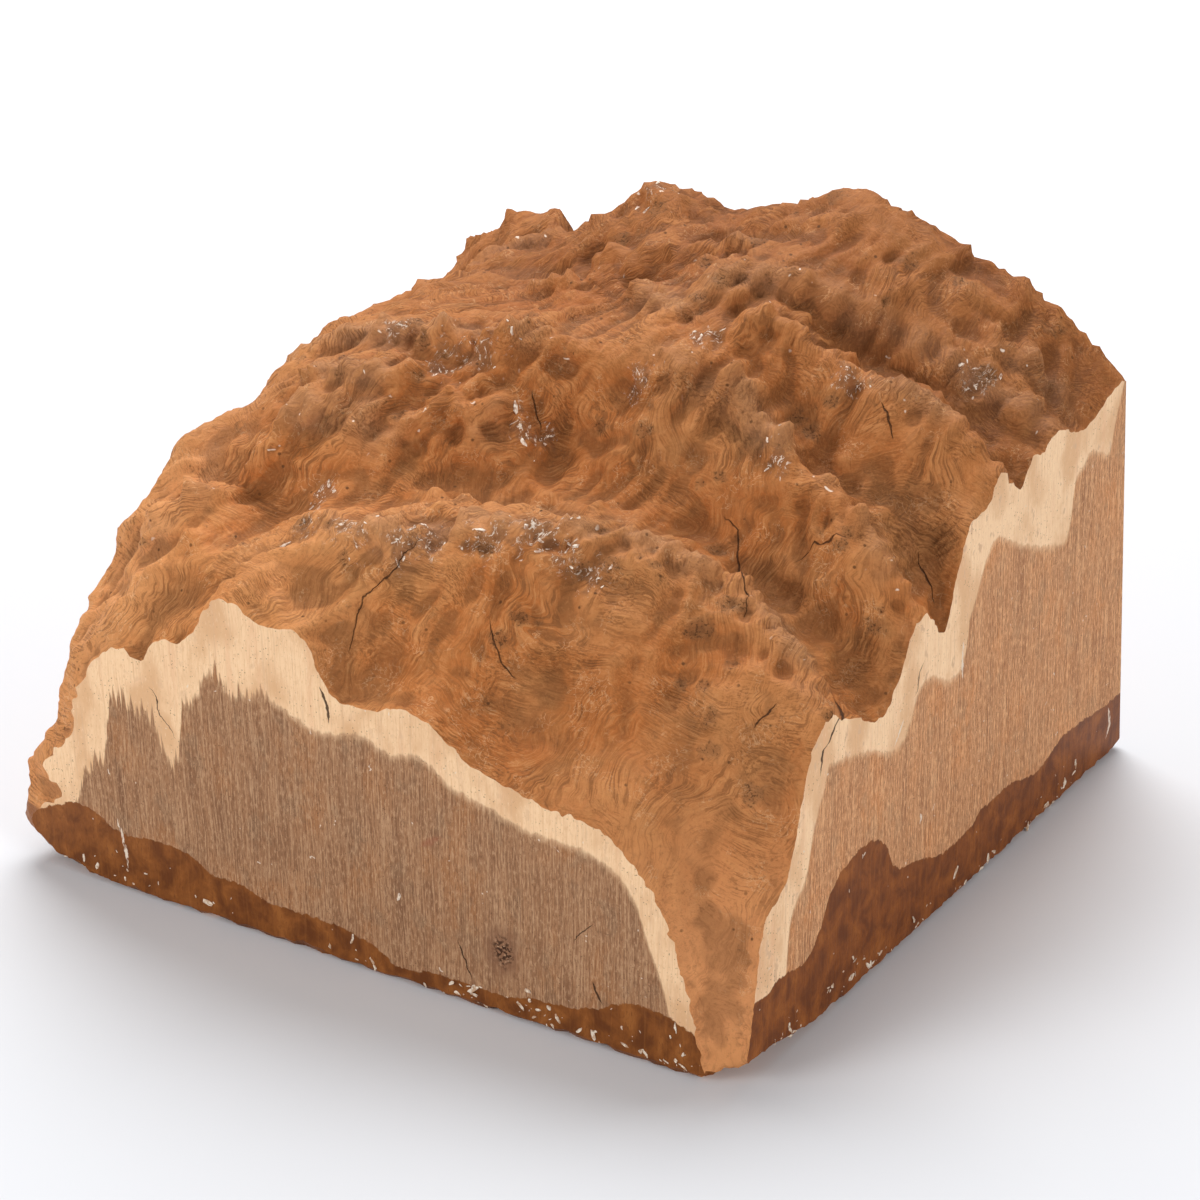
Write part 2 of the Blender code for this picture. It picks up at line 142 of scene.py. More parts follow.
valleys = {
    "first groove": [
        (-4, 68, 82), (-12, 76, 90), (-25, 78, 97), (-38, 80, 103), (-50, 84, 109),
        (-64, 88, 114), (-78, 86, 117),
    ],
    "second groove": [
        (-3, 108, 94), (-9, 111, 104), (-17, 115, 112), (-27, 118, 118), (-40, 119, 123),
        (-56, 124, 131),
    ],
    "third groove": [
        (-4, 155, 119), (-20, 157, 126), (-38, 158, 133), (-54, 158, 138), (-68, 157, 144),
    ],
    "apron fold": [
        (-126, 4, 82), (-108, 6, 84), (-88, 13, 84), (-69, 21, 85), (-52, 24, 83),
        (-32, 22, 76), (-20, 24, 72),
    ],
    "left crease": [(-200, 50, 101), (-181, 46, 107), (-165, 44, 110)],
    "middle hollow": [(-96, 86, 120), (-110, 86, 120), (-128, 73, 118), (-150, 60, 117)],
}

# Deep hollows with steep sides: (x, y, z), radius and depth
hollows = {
    "left pit": ((-180, 150, 124), 8.0, 5.0),
    "peak side": ((-154, 176, 137), 7.0, 4.5),
    "peak notch": ((-158, 194, 143), 6.5, 6.0),
    "left dip": ((-205, 141, 125), 13.0, 4.5),
    "under the crest": ((-121, 104, 139), 7.0, 4.0),
    "groove end": ((-63, 162, 144), 6.0, 2.5),
    "shaded fold": ((-111, 88, 120), 7.0, 3.5),
    "rear dip": ((-38, 171, 135), 6.0, 3.0),
    "rear shelf": ((-16, 195, 130), 7.5, 3.0),
    "drape dip": ((-158, 68, 122), 5.5, 3.0),
    "drape shade": ((-178, 82, 130), 5.5, 3.0),
}

# Left flank as (height, distance from the right face), and the underside at the front corner
flank = {
    "front": [
        (-12, 186), (-2, 190), (0, 197), (2, 208), (4, 219), (7, 227), (11, 230), (15, 229),
        (19, 223), (23, 217), (27, 223), (31, 226), (35, 221), (42, 215), (50, 213), (60, 211),
        (75, 216), (130, 222), (260, 225),
    ],
    "foot": [
        (-12, 214), (-2, 222), (2, 231), (7, 236), (13, 238), (20, 238), (27, 239), (33, 234),
        (40, 228), (50, 224), (62, 224), (75, 226), (130, 224), (260, 220),
    ],
    "wall": [
        (-12, 218), (0, 222), (14, 230), (34, 233), (60, 232), (85, 229), (105, 226), (130, 221),
        (260, 200),
    ],
    "bulgeDepth": 6.0,
    "footDepth": 34.0,
    "keelRise": 9.0,
    "keelCentre": (4.0, 4.0),
    "keelRadii": (17.0, 44.0),
    "keelPower": 1.4,
}

growth = {
    "noiseSeed": 1795779354,  # the solid's own; vector noise changes with each run without it
    "slack": 1.5,
    "crestLift": 1.0,
    "valleyDrop": 0.5,
    "crestEdge": 2.4,
    "valleyEdge": 1.0,
    "edgeWidth": 5.5,
    "edgeOffset": 0.3,
    "sawnFade": 16.0,
    "wander": 6.0,
    "wanderSize": 24.0,
    "wanderLayer": 4.0,
    "foldSize": (34.0, 15.0, 24.0),  # folds run along the front
    "foldHeight": 2.8,
    "fanCentre": (-60.0, 320.0),  # flutes spread from here as they run downhill
    "fanRadius": 200.0,
    "flowSize": 22.0,
    "flow": 6.0,  # how far the flutes are pushed off their straight way down
    "fluteSize": (7.5, 38.0, 28.0),  # across, outward from the fan's centre, and in height
    "fluteHeight": 0.9,
    "calmFold": 0.35,  # share of the folds left on the low apron, and of the fine relief
    "calmFine": 0.16,
    "calmHeights": (78.0, 104.0),
    "roughFlank": (185.0, 212.0),  # further left than this the relief is full again
    "crestShare": 0.4,  # how much of the fine relief is only on the crests
    "crestReach": 15.0,
    "crestMark": 7.0,  # the crests' colours fade over this
    "calmSawn": 0.3,
    "sawnReach": 9.0,
    "curtainSize": (3.4, 24.0, 18.0),  # fine ridges between the flutes
    "curtainHeight": 0.6,
    "knobSize": 6.5,
    "knobHeight": 0.15,
    "rippleSize": (1.9, 7.0, 5.0),
    "rippleHeight": 0.42,
    "gritSize": 3.4,  # small roughness, also along the sawn edges
    "gritHeight": 0.36,
    "raggedSize": 2.8,  # the skin is rough where it was sawn through
    "raggedHeight": 0.9,
}

# Pointed tips, most of them on the crests
largeTips = {
    "seed": 41, "perCrest": 0.15, "spread": 4.0, "loose": 26, "radius": (2.8, 5.4),
    "height": (1.2, 3.6),
}
fineTips = {
    "seed": 7, "perCrest": 0.60, "spread": 3.0, "loose": 40, "radius": (1.2, 2.6),
    "height": (0.6, 2.0),
}
tipShape = {"power": 1.4, "length": 1.9, "looseFrom": 55.0}

# Each crest ends in front in a row of pointed lobes that overhang a little
fringe = {
    "height": 1.45,
    "heights": (60.0, 90.0),  # the lobes fade in over these heights
    "period": 8.0,  # along the crest, from one lobe to the next
    "lineGap": 17.0,  # shifts the lobes of each crest against those of the one before
    "rowShift": 2.3,
    "jitter": 1.5,
    "jitterSize": 9.0,
    "layer": 3.0,
    "base": 0.8,  # how far in front of the crest line the gaps between lobes are
    "reach": 4.2,  # and how much further the lobes' points are
    "sway": 1.2,
    "swaySize": 2.3,
    "within": 24.0,  # no lobes further than this from the crest line
    "rise": 8.0,  # the lobes rise over this width
    "gapHeight": 0.55,  # height of the gaps, as a share of the points'
    "fall": 1.5,
    "undercut": 0.3,
    "undercutWidth": 3.5,
    "strength": (0.15, 0.8, 1.3),  # least, middle, and how much it changes
    "rows": (0.0, 8.5),  # a second, weaker row of lobes lies in front of the first
    "rowShare": (1.0, 0.35),
}

# Drying cracks in the skin, in plan: (x, y) along each, and half its width
crackCut = {"depth": 2.6, "from": 40.0, "within": 3.0, "taper": 0.6}
cracks = {
    "bow": ([(-61, 92), (-55, 90), (-50, 82), (-41, 69), (-37, 66), (-36, 60)], 0.26),
    "hook": ([(-37, 90), (-33, 93), (-28, 95), (-23, 96)], 0.2),
    "edge": ([(-7, 58), (-3, 56), (0, 52), (3, 48)], 0.42),
    "slit": ([(-18, 36), (-14, 41)], 0.28),
    "long": (
        [(-121, 36), (-122, 33), (-125, 29), (-128, 24), (-131, 18), (-130, 15), (-129, 9)], 0.16,
    ),
    "short": ([(-96, 29), (-93, 26), (-89, 24), (-84, 24)], 0.18),
    "rear": ([(-126, 98), (-123, 95), (-120, 93)], 0.2),
    "far": ([(-37, 136), (-32, 133), (-30, 131)], 0.24),
    "side": ([(-13, 115), (-9, 112), (-4, 109)], 0.24),
}

# Burl eyes and old bark, in plan
eyes = {
    "places": [
        (-31, 46), (-45, 50), (-42, 39), (-35, 40), (-30, 34), (-1, 44), (-73, 53), (-66, 57),
        (-62, 57), (-79, 48), (-29, 167), (-23, 172), (-55, 170), (-57, 187), (-33, 96),
        (-25, 94), (-25, 97), (-52, 107), (-57, 125), (-104, 98), (-148, 181), (-97, 139),
        (-80, 133), (-156, 160), (-156, 86), (-182, 90), (-208, 72), (-91, 27), (-88, 32),
    ],
    "seed": 23,
    "more": 60,
    "spanX": (-215.0, -4.0),
    "spanY": (12.0, 215.0),
    "radius": (2.4, 5.0),
    "dent": 0.7,
}
bark = {
    "places": [
        (-165, 50), (-158, 32), (-144, 30), (-136, 29), (-126, 31), (-120, 35), (-105, 39),
        (-100, 43), (-95, 48), (-91, 51), (-124, 89), (-118, 92), (-85, 48), (-76, 48),
        (-150, 98), (-145, 100), (-153, 92), (-140, 104), (-97, 108), (-48, 138), (-87, 123),
        (-174, 102), (-25, 170), (-51, 105), (-148, 200),
    ],
    "radius": 11.0,
}


def smoothStep(low, high, value):
    share = np.clip((value - low) / (high - low), 0.0, 1.0)
    return share * share * (3.0 - 2.0 * share)


def backCut(height):
    return depth - block["backLean"] * (height - block["floor"])


def smoothMinimum(a, b, rounding):
    share = np.clip(0.5 + 0.5 * (b - a) / rounding, 0.0, 1.0)
    return b + (a - b) * share - rounding * share * (1.0 - share)


def crownAnchors():
    anchors = [(x, 0.0, z) for x, z in edges["front"]]
    anchors += [(0.0, y, z) for y, z in edges["right"]]
    anchors += [(x, backCut(z), z) for x, z in edges["back"]]
    anchors += [(edges["leftShoulderX"], y, z) for y, z in edges["leftShoulder"]]
    for line in crests.values():
        anchors += [(x, y, z + growth["crestLift"]) for x, y, z in line]
    for line in valleys.values():
        anchors += [(x, y, z - growth["valleyDrop"]) for x, y, z in line]
    return np.array(anchors, dtype=float)


def inset(x, y):
    # how far inside the front, right and back cuts
    return np.minimum(np.minimum(-x, y), depth - y)


def besideRun(x, y, start, end):
    # along one straight run, away from it, its length, and on which side
    length = math.dist(start[:2], end[:2])
    run, rise = (end[0] - start[0]) / length, (end[1] - start[1]) / length
    offX, offY = x - start[0], y - start[1]
    along = np.clip(offX * run + offY * rise, 0.0, length)
    return along, np.hypot(offX - along * run, offY - along * rise), length, (
        np.sign(offX * rise - offY * run))


def nearestLine(x, y, lines):
    nearest = np.full(x.shape, 1000.0)
    for line in lines:
        for start, end in zip(line, line[1:]):
            nearest = np.minimum(nearest, besideRun(x, y, start, end)[1])
    return nearest


def plateKernel(squared):
    return 0.5 * squared * np.log(np.maximum(squared, 1e-9))


def fitCrown(anchors):
    # thin-plate weights for a smooth crown through the anchors
    count = len(anchors)
    gaps = anchors[:, None, :2] - anchors[None, :, :2]
    system = np.zeros((count + 3, count + 3))
    system[:count, :count] = plateKernel((gaps**2).sum(axis=2)) + np.eye(count) * growth["slack"]
    system[:count, count] = 1.0
    system[:count, count + 1:] = anchors[:, :2]
    system[count:, :count] = system[:count, count:].T
    return np.linalg.solve(system, np.concatenate([anchors[:, 2], np.zeros(3)]))


def sawnFade(x, y):
    return smoothStep(0.0, growth["sawnFade"], inset(x, y))


def wander(x, y):
    # crests and valleys shifted sideways a little, so that none runs straight
    size = growth["wanderSize"]
    shift = np.array([
        noise.noise_vector(Vector((a, b, growth["wanderLayer"])) / size)[:2]
        for a, b in zip(x.flat, y.flat)
    ])
    shift = shift.reshape(x.shape + (2,)) * (growth["wander"] * sawnFade(x, y))[..., None]
    return x + shift[..., 0], y + shift[..., 1]


class Crown:
    # height of the burl's top over the plan, looked up on a one millimetre grid
    step = 1.0
    margin = 14.0

    def __init__(self):
        anchors = crownAnchors()
        weights = fitCrown(anchors)
        reach = block["footReach"]
        self.low = np.array([-reach - self.margin, -self.margin])
        span = np.array([reach + 2 * self.margin, depth + 2 * self.margin])
        self.counts = np.ceil(span / self.step).astype(int) + 1
        x = self.low[0] + self.step * np.arange(self.counts[0])
        y = self.low[1] + self.step * np.arange(self.counts[1])
        gridX, gridY = np.meshgrid(
            np.clip(x, -reach, block["rim"]), np.clip(y, -block["rim"], depth), indexing="ij"
        )
        gridX, gridY = wander(gridX, gridY)
        height = weights[-3] + weights[-2] * gridX + weights[-1] * gridY
        for (ax, ay, _), weight in zip(anchors, weights):
            height += weight * plateKernel((gridX - ax) ** 2 + (gridY - ay) ** 2)
        fade = sawnFade(gridX, gridY)
        self.crestGap = nearestLine(gridX, gridY, crests.values())
        valleyGap = nearestLine(gridX, gridY, valleys.values())
        width, offset = growth["edgeWidth"], growth["edgeOffset"]
        height += growth["crestEdge"] * (np.exp(-self.crestGap / width) - offset) * fade
        height -= growth["valleyEdge"] * (np.exp(-valleyGap / width) - offset) * fade
        self.height = height

    def read(self, grid, x, y):
        place = (np.stack([x, y], axis=-1) - self.low) / self.step
        place = np.clip(place, 0.0, self.counts - 1.001)
        cell = place.astype(int)
        u, v = (place - cell).T
        i, j = cell.T
        near = grid[i, j] * (1 - v) + grid[i, j + 1] * v
        far = grid[i + 1, j] * (1 - v) + grid[i + 1, j + 1] * v
        return near * (1 - u) + far * u

    def top(self, x, y):
        # the point of the crown over one place
        return Vector((x, y, float(self.read(self.height, np.array([x]), np.array([y]))[0])))


def flankX(y, z):
    front, foot, wall = (np.interp(z, *zip(*flank[name])) for name in ("front", "foot", "wall"))
    bulge = smoothStep(-3.0, flank["bulgeDepth"], y)
    share = smoothStep(flank["bulgeDepth"], flank["footDepth"], y)
    return -(front * (1.0 - bulge) + foot * (bulge - share) + wall * share)


def keelZ(x, y):
    across = (x - flank["keelCentre"][0]) / flank["keelRadii"][0]
    along = (y - flank["keelCentre"][1]) / flank["keelRadii"][1]
    rise = np.clip(1.0 - np.hypot(across, along), 0.0, 1.0) ** flank["keelPower"]
    return flank["keelRise"] * rise


def insideBurl(points, crown):
    # positive inside the uncut burl, negative outside
    x, y, z = points.T
    spare = block["spare"]
    top = crown.read(crown.height, x, y) - z
    inner = smoothMinimum(top, x - flankX(y, z), block["shoulderRounding"])
    lift = keelZ(x, y)
    inner = np.minimum(inner, np.where(lift > 0.01, z - lift, z + spare))
    inner = np.minimum(inner, np.minimum(spare - x, spare + y))
    return np.minimum(inner, depth + spare - y)


def growSkin(directions, crown):
    # distance along each ray from the core to the skin
    core = np.array(block["core"])
    low = np.zeros(len(directions))
    high = np.full(len(directions), block["reach"])
    reached = np.zeros(len(directions), dtype=bool)
    for distance in np.arange(block["rayStart"], block["reach"], block["rayStep"]):
        out = insideBurl(core + directions * distance, crown) < 0.0
        fresh = out & ~reached
        high[fresh] = distance
        low[fresh] = distance - block["rayStep"]
        reached |= fresh
    for _ in range(block["halvings"]):
        middle = 0.5 * (low + high)
        within = insideBurl(core + directions * middle[:, None], crown) > 0.0
        low = np.where(within, middle, low)
        high = np.where(within, high, middle)
    return 0.5 * (low + high)


def stretched(point, size):
    return Vector(place / length for place, length in zip(point, size))


def ridge(point):
    # sharp-topped ridges, from about -1 to 1
    return 1.0 - 4.0 * abs(noise.noise(point))


def fanned(point):
    # the place measured across and outward from the fan's centre, and in height
    side, front = point.x - growth["fanCentre"][0], growth["fanCentre"][1] - point.y
    return (math.atan2(side, front) * growth["fanRadius"], math.hypot(side, front), point.z)


def growthRelief(point):
    # folds and flutes of the growth, and the fine relief on them
    fold = noise.ridged_multi_fractal(stretched(point, growth["foldSize"]), 1.0, 2.1, 3, 0.9, 1.8)
    flowing = fanned(point + noise.noise_vector(point / growth["flowSize"]) * growth["flow"])
    broad = growth["foldHeight"] * (fold - 1.0)
    broad += growth["fluteHeight"] * ridge(stretched(flowing, growth["fluteSize"]))
    knobs = noise.ridged_multi_fractal(point / growth["knobSize"], 1.0, 2.1, 2, 0.9, 1.8)
    fine = growth["knobHeight"] * (knobs - 1.0)
    fine += growth["curtainHeight"] * ridge(stretched(flowing, growth["curtainSize"]))
    fine += growth["rippleHeight"] * noise.noise(stretched(flowing, growth["rippleSize"]))
    grit = growth["gritHeight"] * noise.fractal(point / growth["gritSize"], 1.0, 2.1, 2)
    return broad, fine, grit


def calmness(points, crown):
    # shares of the broad and the fine relief: full on the crests, little at the sawn faces
    x, y = points[:, 0], points[:, 1]
    near = np.exp(-((crown.read(crown.crestGap, x, y) / growth["crestReach"]) ** 2))
    sawn = growth["calmSawn"]
    sawn += (1.0 - sawn) * smoothStep(0.0, growth["sawnReach"], inset(x, y))
    high = smoothStep(*growth["calmHeights"], points[:, 2])
    high = np.maximum(high, smoothStep(*growth["roughFlank"], -x))
    broad = sawn * (growth["calmFold"] + (1.0 - growth["calmFold"]) * high)
    crest = 1.0 - growth["crestShare"] * (1.0 - near)
    fine = sawn * (growth["calmFine"] + (1.0 - growth["calmFine"]) * high * crest)
    return broad, fine


def crestFringe(x, y):
    # rise of the skin at the lobes, which point to the front
    rise = np.zeros(x.shape)
    least, middle, change = fringe["strength"]
    for row, line in enumerate(crests.values()):
        before = fringe["lineGap"] * row
        side, along = np.full(x.shape, farAway), np.zeros(x.shape)
        for start, end in zip(line, line[1:]):
            share, gap, length, turn = besideRun(x, y, start, end)
            nearer = gap < np.abs(side)
            side = np.where(nearer, np.where(turn < 0.0, gap, -gap), side)
            along = np.where(nearer, before + share, along)
            before += length
        near = np.abs(side) < fringe["within"]
        push, sway = np.zeros(x.shape), np.zeros(x.shape)
        for number in np.flatnonzero(near):
            spot = Vector((x[number], y[number], fringe["layer"] * row))
            push[number] = noise.noise(spot / fringe["jitterSize"])
            sway[number] = noise.noise(spot / fringe["swaySize"])
        for start, share in zip(fringe["rows"], fringe["rowShare"]):
            phase = (along + fringe["rowShift"] * start) / fringe["period"]
            phase += fringe["jitter"] * push
            tooth = 1.0 - np.abs(2.0 * (phase - np.floor(phase)) - 1.0)
            edge = start + fringe["base"] + fringe["reach"] * tooth + fringe["sway"] * sway
            ahead, gaps = side - edge, fringe["gapHeight"]
            lobe = smoothStep(-fringe["rise"], 0.0, ahead) * (gaps + (1.0 - gaps) * tooth)
            lobe = lobe * (1.0 - smoothStep(0.0, fringe["fall"], ahead))
            under = np.exp(-((ahead - fringe["fall"] - 1.0) / fringe["undercutWidth"] * 2.0) ** 2)
            one = share * (lobe - fringe["undercut"] * under)
            rise += np.where(near, one * np.maximum(least, middle + change * push), 0.0)
    return fringe["height"] * rise * sawnFade(x, y)


def scatterTips(crown, tips):
    draw = random.Random(tips["seed"])
    places = []
    for line in crests.values():
        for start, end in zip(line, line[1:]):
            length = math.dist(start[:2], end[:2])
            for _ in range(max(1, round(length * tips["perCrest"]))):
                share = draw.random()
                places.append([
                    start[axis] + share * (end[axis] - start[axis]) + draw.gauss(0.0, tips["spread"])
                    for axis in (0, 1)
                ])
    for _ in range(tips["loose"]):
        x = draw.uniform(-block["footReach"], 0.0)
        places.append((x, draw.uniform(tipShape["looseFrom"], depth)))
    return [
        (crown.top(x, y), draw.uniform(*tips["radius"]), draw.uniform(*tips["height"]))
        for x, y in places
    ]


def burlEyes(crown):
    draw = random.Random(eyes["seed"])
    places = list(eyes["places"])
    for _ in range(eyes["more"]):
        places.append((draw.uniform(*eyes["spanX"]), draw.uniform(*eyes["spanY"])))
    return [(crown.top(x, y), draw.uniform(*eyes["radius"])) for x, y in places]


def crackSigns(points):
    # signed distance in plan to the nearest crack, and that crack's half width there
    x, y, z = points.T
    side, half = np.full(x.shape, 9.0), np.zeros(x.shape)
    for line, width in cracks.values():
        whole = sum(math.dist(a, b) for a, b in zip(line, line[1:]))
        before = 0.0
        for start, end in zip(line, line[1:]):
            along, gap, length, turn = besideRun(x, y, start, end)
            nearer = gap < np.abs(side)
            run = np.clip((before + along) / whole, 0.0, 1.0)
            taper = np.sin(np.pi * run) ** crackCut["taper"]
            side = np.where(nearer, np.where(turn > 0.0, gap, -gap), side)
            half = np.where(nearer, np.where(gap < crackCut["within"], width * taper, 0.0), half)
            before += length
    return side, np.where(z > crackCut["from"], half, 0.0)


def raiseRelief(skin, crown):
    vertices = list(skin.verts)
    places = np.array([vertex.co for vertex in vertices])
    x, y, z = places.T
    broadShare, fineShare = (share.tolist() for share in calmness(places, crown))
    edgeShare = (1.0 - smoothStep(0.0, growth["sawnReach"], inset(x, y))).tolist()
    tree = kdtree.KDTree(len(vertices))
    rise = []
    for number, vertex in enumerate(vertices):
        tree.insert(vertex.co, number)
        broad, fine, grit = growthRelief(vertex.co)
        edge = edgeShare[number]
        ragged = growth["raggedHeight"] * noise.noise(vertex.co / growth["raggedSize"])
        amount = broad * broadShare[number] + fine * fineShare[number]
        rise.append(amount + grit * (1.0 + edge) + ragged * edge)
    tree.balance()
    long = tipShape["length"]
    for centre, radius, height in scatterTips(crown, largeTips) + scatterTips(crown, fineTips):
        for place, number, _ in tree.find_range(centre, radius * long):
            off = place - centre
            gap = math.hypot(off.x, off.y / long, off.z / long)
            rise[number] += height * max(0.0, 1.0 - gap / radius) ** tipShape["power"]
    for centre, radius, drop in hollows.values():
        for _, number, gap in tree.find_range(Vector(centre), radius):
            rise[number] -= drop * (1.0 - (gap / radius) ** 2) ** 2
    for centre, radius in burlEyes(crown):
        for _, number, gap in tree.find_range(centre, radius):
            share = 1.0 - gap / radius
            rise[number] += eyes["dent"] * (math.sin(share * math.pi) - share * share * 1.6)
    side, half = crackSigns(places)
    groove = crackCut["depth"] * half * np.exp(-(side**2))
    lobes = crestFringe(x, y) * smoothStep(*fringe["heights"], z)
    normals = [vertex.normal.copy() for vertex in vertices]
    for vertex, normal, amount in zip(vertices, normals, np.array(rise) + lobes - groove):
        vertex.co += normal * float(amount)


def newPiece(name, shape, *finishes):
    mesh = bpy.data.meshes.new(name)
    shape.to_mesh(mesh)
    shape.free()
    for finish in finishes:
        mesh.materials.append(finish)
    piece = bpy.data.objects.new(name, mesh)
    bpy.context.scene.collection.objects.link(piece)
    return piece


def naturalBurl(crown):
    skin = bmesh.new()
    bmesh.ops.create_icosphere(skin, subdivisions=block["detail"], radius=1.0)
    directions = np.array([vertex.co.normalized() for vertex in skin.verts])
    distances = growSkin(directions, crown)
    core = Vector(block["core"])
    for vertex, direction, distance in zip(skin.verts, directions, distances):
        vertex.co = core + Vector(direction) * distance
    skin.normal_update()
    raiseRelief(skin, crown)
    return newPiece("natural_burl", skin)


def sawBlock():
    # the block that the four cuts leave, its lower edges worn and chipped
    top, left = 2 * depth, -2 * block["footReach"]
    saw = bmesh.new()
    bmesh.ops.create_cube(saw, size=1.0)
    for vertex in saw.verts:
        x, y, z = vertex.co
        height = top if z > 0 else block["floor"]
        vertex.co = (0.0 if x > 0 else left, backCut(height) if y > 0 else 0.0, height)
    lower = [edge for edge in saw.edges if all(v.co.z < 0.0 for v in edge.verts)]
    bmesh.ops.bevel(
        saw, geom=lower, affect="EDGES", offset=block["wear"], segments=1, profile=0.5,
        material=-1,
    )
    longOnes = [
        edge for edge in saw.edges
        if all(v.co.z < block["wearTop"] for v in edge.verts) and edge.calc_length() > depth / 2
    ]
    bmesh.ops.subdivide_edges(saw, edges=longOnes, cuts=block["wearSteps"], use_grid_fill=True)
    return saw


def wearEdges(saw):
    # each point of a worn edge slides in by its own amount, and the flat faces stay flat
    for vertex in saw.verts:
        x, y, z = vertex.co
        if z > block["wearTop"] or x < -block["footReach"] - 20.0:
            continue
        wear = 0.5 + 1.5 * noise.noise(Vector((x, y, z)) / 2.2) + noise.noise(vertex.co / 9.0)
        wear = max(0.0, wear) * block["wear"]
        reach = block["wear"] + 0.1
        if z > block["floor"] + 0.01:
            vertex.co.z += wear * 0.8
        else:
            vertex.co.x -= wear if x > -reach else 0.0
            vertex.co.y += wear if y < reach else 0.0
            vertex.co.y -= wear if y > depth - reach else 0.0


def applied(piece, name):
    # the piece with its modifiers made final
    graph = bpy.context.evaluated_depsgraph_get()
    mesh = bpy.data.meshes.new_from_object(piece.evaluated_get(graph))
    mesh.name = name
    final = bpy.data.objects.new(name, mesh)
    bpy.context.scene.collection.objects.link(final)
    return final


def sawnBurl(crown):
    burl = naturalBurl(crown)
    print("stage: skin grown,", len(burl.data.polygons), "faces")
    saw = sawBlock()
    wearEdges(saw)
    sawPiece = newPiece("saw_block", saw)
    cut = burl.modifiers.new("saw cuts", "BOOLEAN")
    cut.operation = "INTERSECT"
    cut.solver = "MANIFOLD"
    cut.object = sawPiece
    blank = applied(burl, "burl_turning_blank")
    for spent in (burl, sawPiece):
        bpy.data.objects.remove(spent)
    print("stage: sawn,", len(blank.data.polygons), "faces")
    return blank


skinSlot, frontSlot, rightSlot, backSlot, baseSlot = range(5)


def cutOf(face):
    # which finish a face takes, by the cut that it lies on
    centre, normal = face.calc_center_median(), face.normal
    x, y, z = centre
    low = z < block["floor"] + 3.5
    near = 3.2 if low else 0.02
    square = 0.55 if low else 0.999
    if normal.z < -0.75 and z < block["floor"] + 0.6:
        return baseSlot
    if y < near and normal.y < -square:
        return frontSlot
    if x > -near and normal.x > square:
        return rightSlot
    if y > backCut(z) - near and normal.y > square - 0.01:
        return backSlot
    return skinSlot


def markCuts(blank):
    shape = bmesh.new()
    shape.from_mesh(blank.data)
    bmesh.ops.triangulate(shape, faces=shape.faces[:])
    shape.normal_update()
    for face in shape.faces:
        face.material_index = cutOf(face)
        face.smooth = face.material_index == skinSlot
    for edge in shape.edges:
        slots = {face.material_index for face in edge.link_faces}
        edge.smooth = len(slots) == 1
    shape.to_mesh(blank.data)
    shape.free()


def smoothOver(values, ends, count, passes):
    # each pass takes the mean of a point's neighbours
    first, second = ends
    number = np.bincount(first, minlength=count) + np.bincount(second, minlength=count)
    number = np.maximum(number, 1)
    for _ in range(passes):
        total = [
            np.bincount(first, weights=column[second], minlength=count)
            + np.bincount(second, weights=column[first], minlength=count)
            for column in values.T
        ]
        mean = np.stack(total, axis=1) / number[:, None]
        values = np.where(number[:, None] > 1, mean, values)
    return values


def nearness(points, places):
    # 1 at a place, 0 at its radius and further
    tree = kdtree.KDTree(len(points))
    for number, point in enumerate(points):
        tree.insert(point, number)
    tree.balance()
    share = np.zeros(len(points))
    for place, radius in places:
        for _, number, gap in tree.find_range(place, radius):
            share[number] = max(share[number], 1.0 - gap / radius)
    return share


def listOf(items, name, width=1, kind=float):
    values = np.empty(len(items) * width, dtype=kind)
    items.foreach_get(name, values)
    return values.reshape(-1, width)


def addMarks(blank, crown):
    # values on the skin that its finish reads
    mesh = blank.data
    points, normals = (listOf(mesh.vertices, name, 3) for name in ("co", "normal"))
    count = len(points)
    corners = listOf(mesh.loops, "vertex_index", kind=int).reshape(-1, 3)
    corners = corners[listOf(mesh.polygons, "material_index", kind=int)[:, 0] == skinSlot]
    ends = corners.T.ravel(), np.roll(corners, -1, axis=1).T.ravel()
    # the hollow and valley marks say how far the skin lies below its smoothed self; by them the
    # finish paints shade in hollows and valleys and highlights on ridges
    even = smoothOver(points, ends, count, 10)
    wide = smoothOver(even, ends, count, 60)
    hollow = smoothOver(((even - points) * normals).sum(axis=1)[:, None], ends, count, 1)
    side, half = crackSigns(points)
    barkPlaces = [(crown.top(x, y), bark["radius"]) for x, y in bark["places"]]
    crestGap = crown.read(crown.crestGap, points[:, 0], points[:, 1])
    marks = {
        "hollow": hollow[:, 0],
        "valley": ((wide - points) * normals).sum(axis=1),
        "crest": np.exp(-crestGap / growth["crestMark"]),
        "crackSide": side,
        "crackHalf": half,
        "eye": nearness(points, burlEyes(crown)),
        "bark": nearness(points, barkPlaces),
    }
    for name, values in marks.items():
        mark = mesh.attributes.new(name, "FLOAT", "POINT")
        mark.data.foreach_set("value", values.astype(np.float32))
    print("stage: marks written")


# Finishes

def mathNode(operation, reflected=False):
    # what an operator does to a value; reflected when the value is on its right
    def write(value, *others):
        terms = (*others, value) if reflected else (value, *others)
        return value.finish.node("ShaderNodeMath", {"operation": operation}, dict(enumerate(terms)))
    return write


class Value:
    # a node's output; sums written on it add Math nodes
    def __init__(self, finish, socket):
        self.finish, self.socket = finish, socket

    __add__, __radd__ = mathNode("ADD"), mathNode("ADD", True)
    __sub__, __rsub__ = mathNode("SUBTRACT"), mathNode("SUBTRACT", True)
    __mul__, __rmul__ = mathNode("MULTIPLY"), mathNode("MULTIPLY", True)
    __truediv__, __rtruediv__ = mathNode("DIVIDE"), mathNode("DIVIDE", True)
    __pow__, __rpow__ = mathNode("POWER"), mathNode("POWER", True)
    __abs__ = mathNode("ABSOLUTE")
    largest, smallest = mathNode("MAXIMUM"), mathNode("MINIMUM")
    angle = mathNode("ARCTAN2")


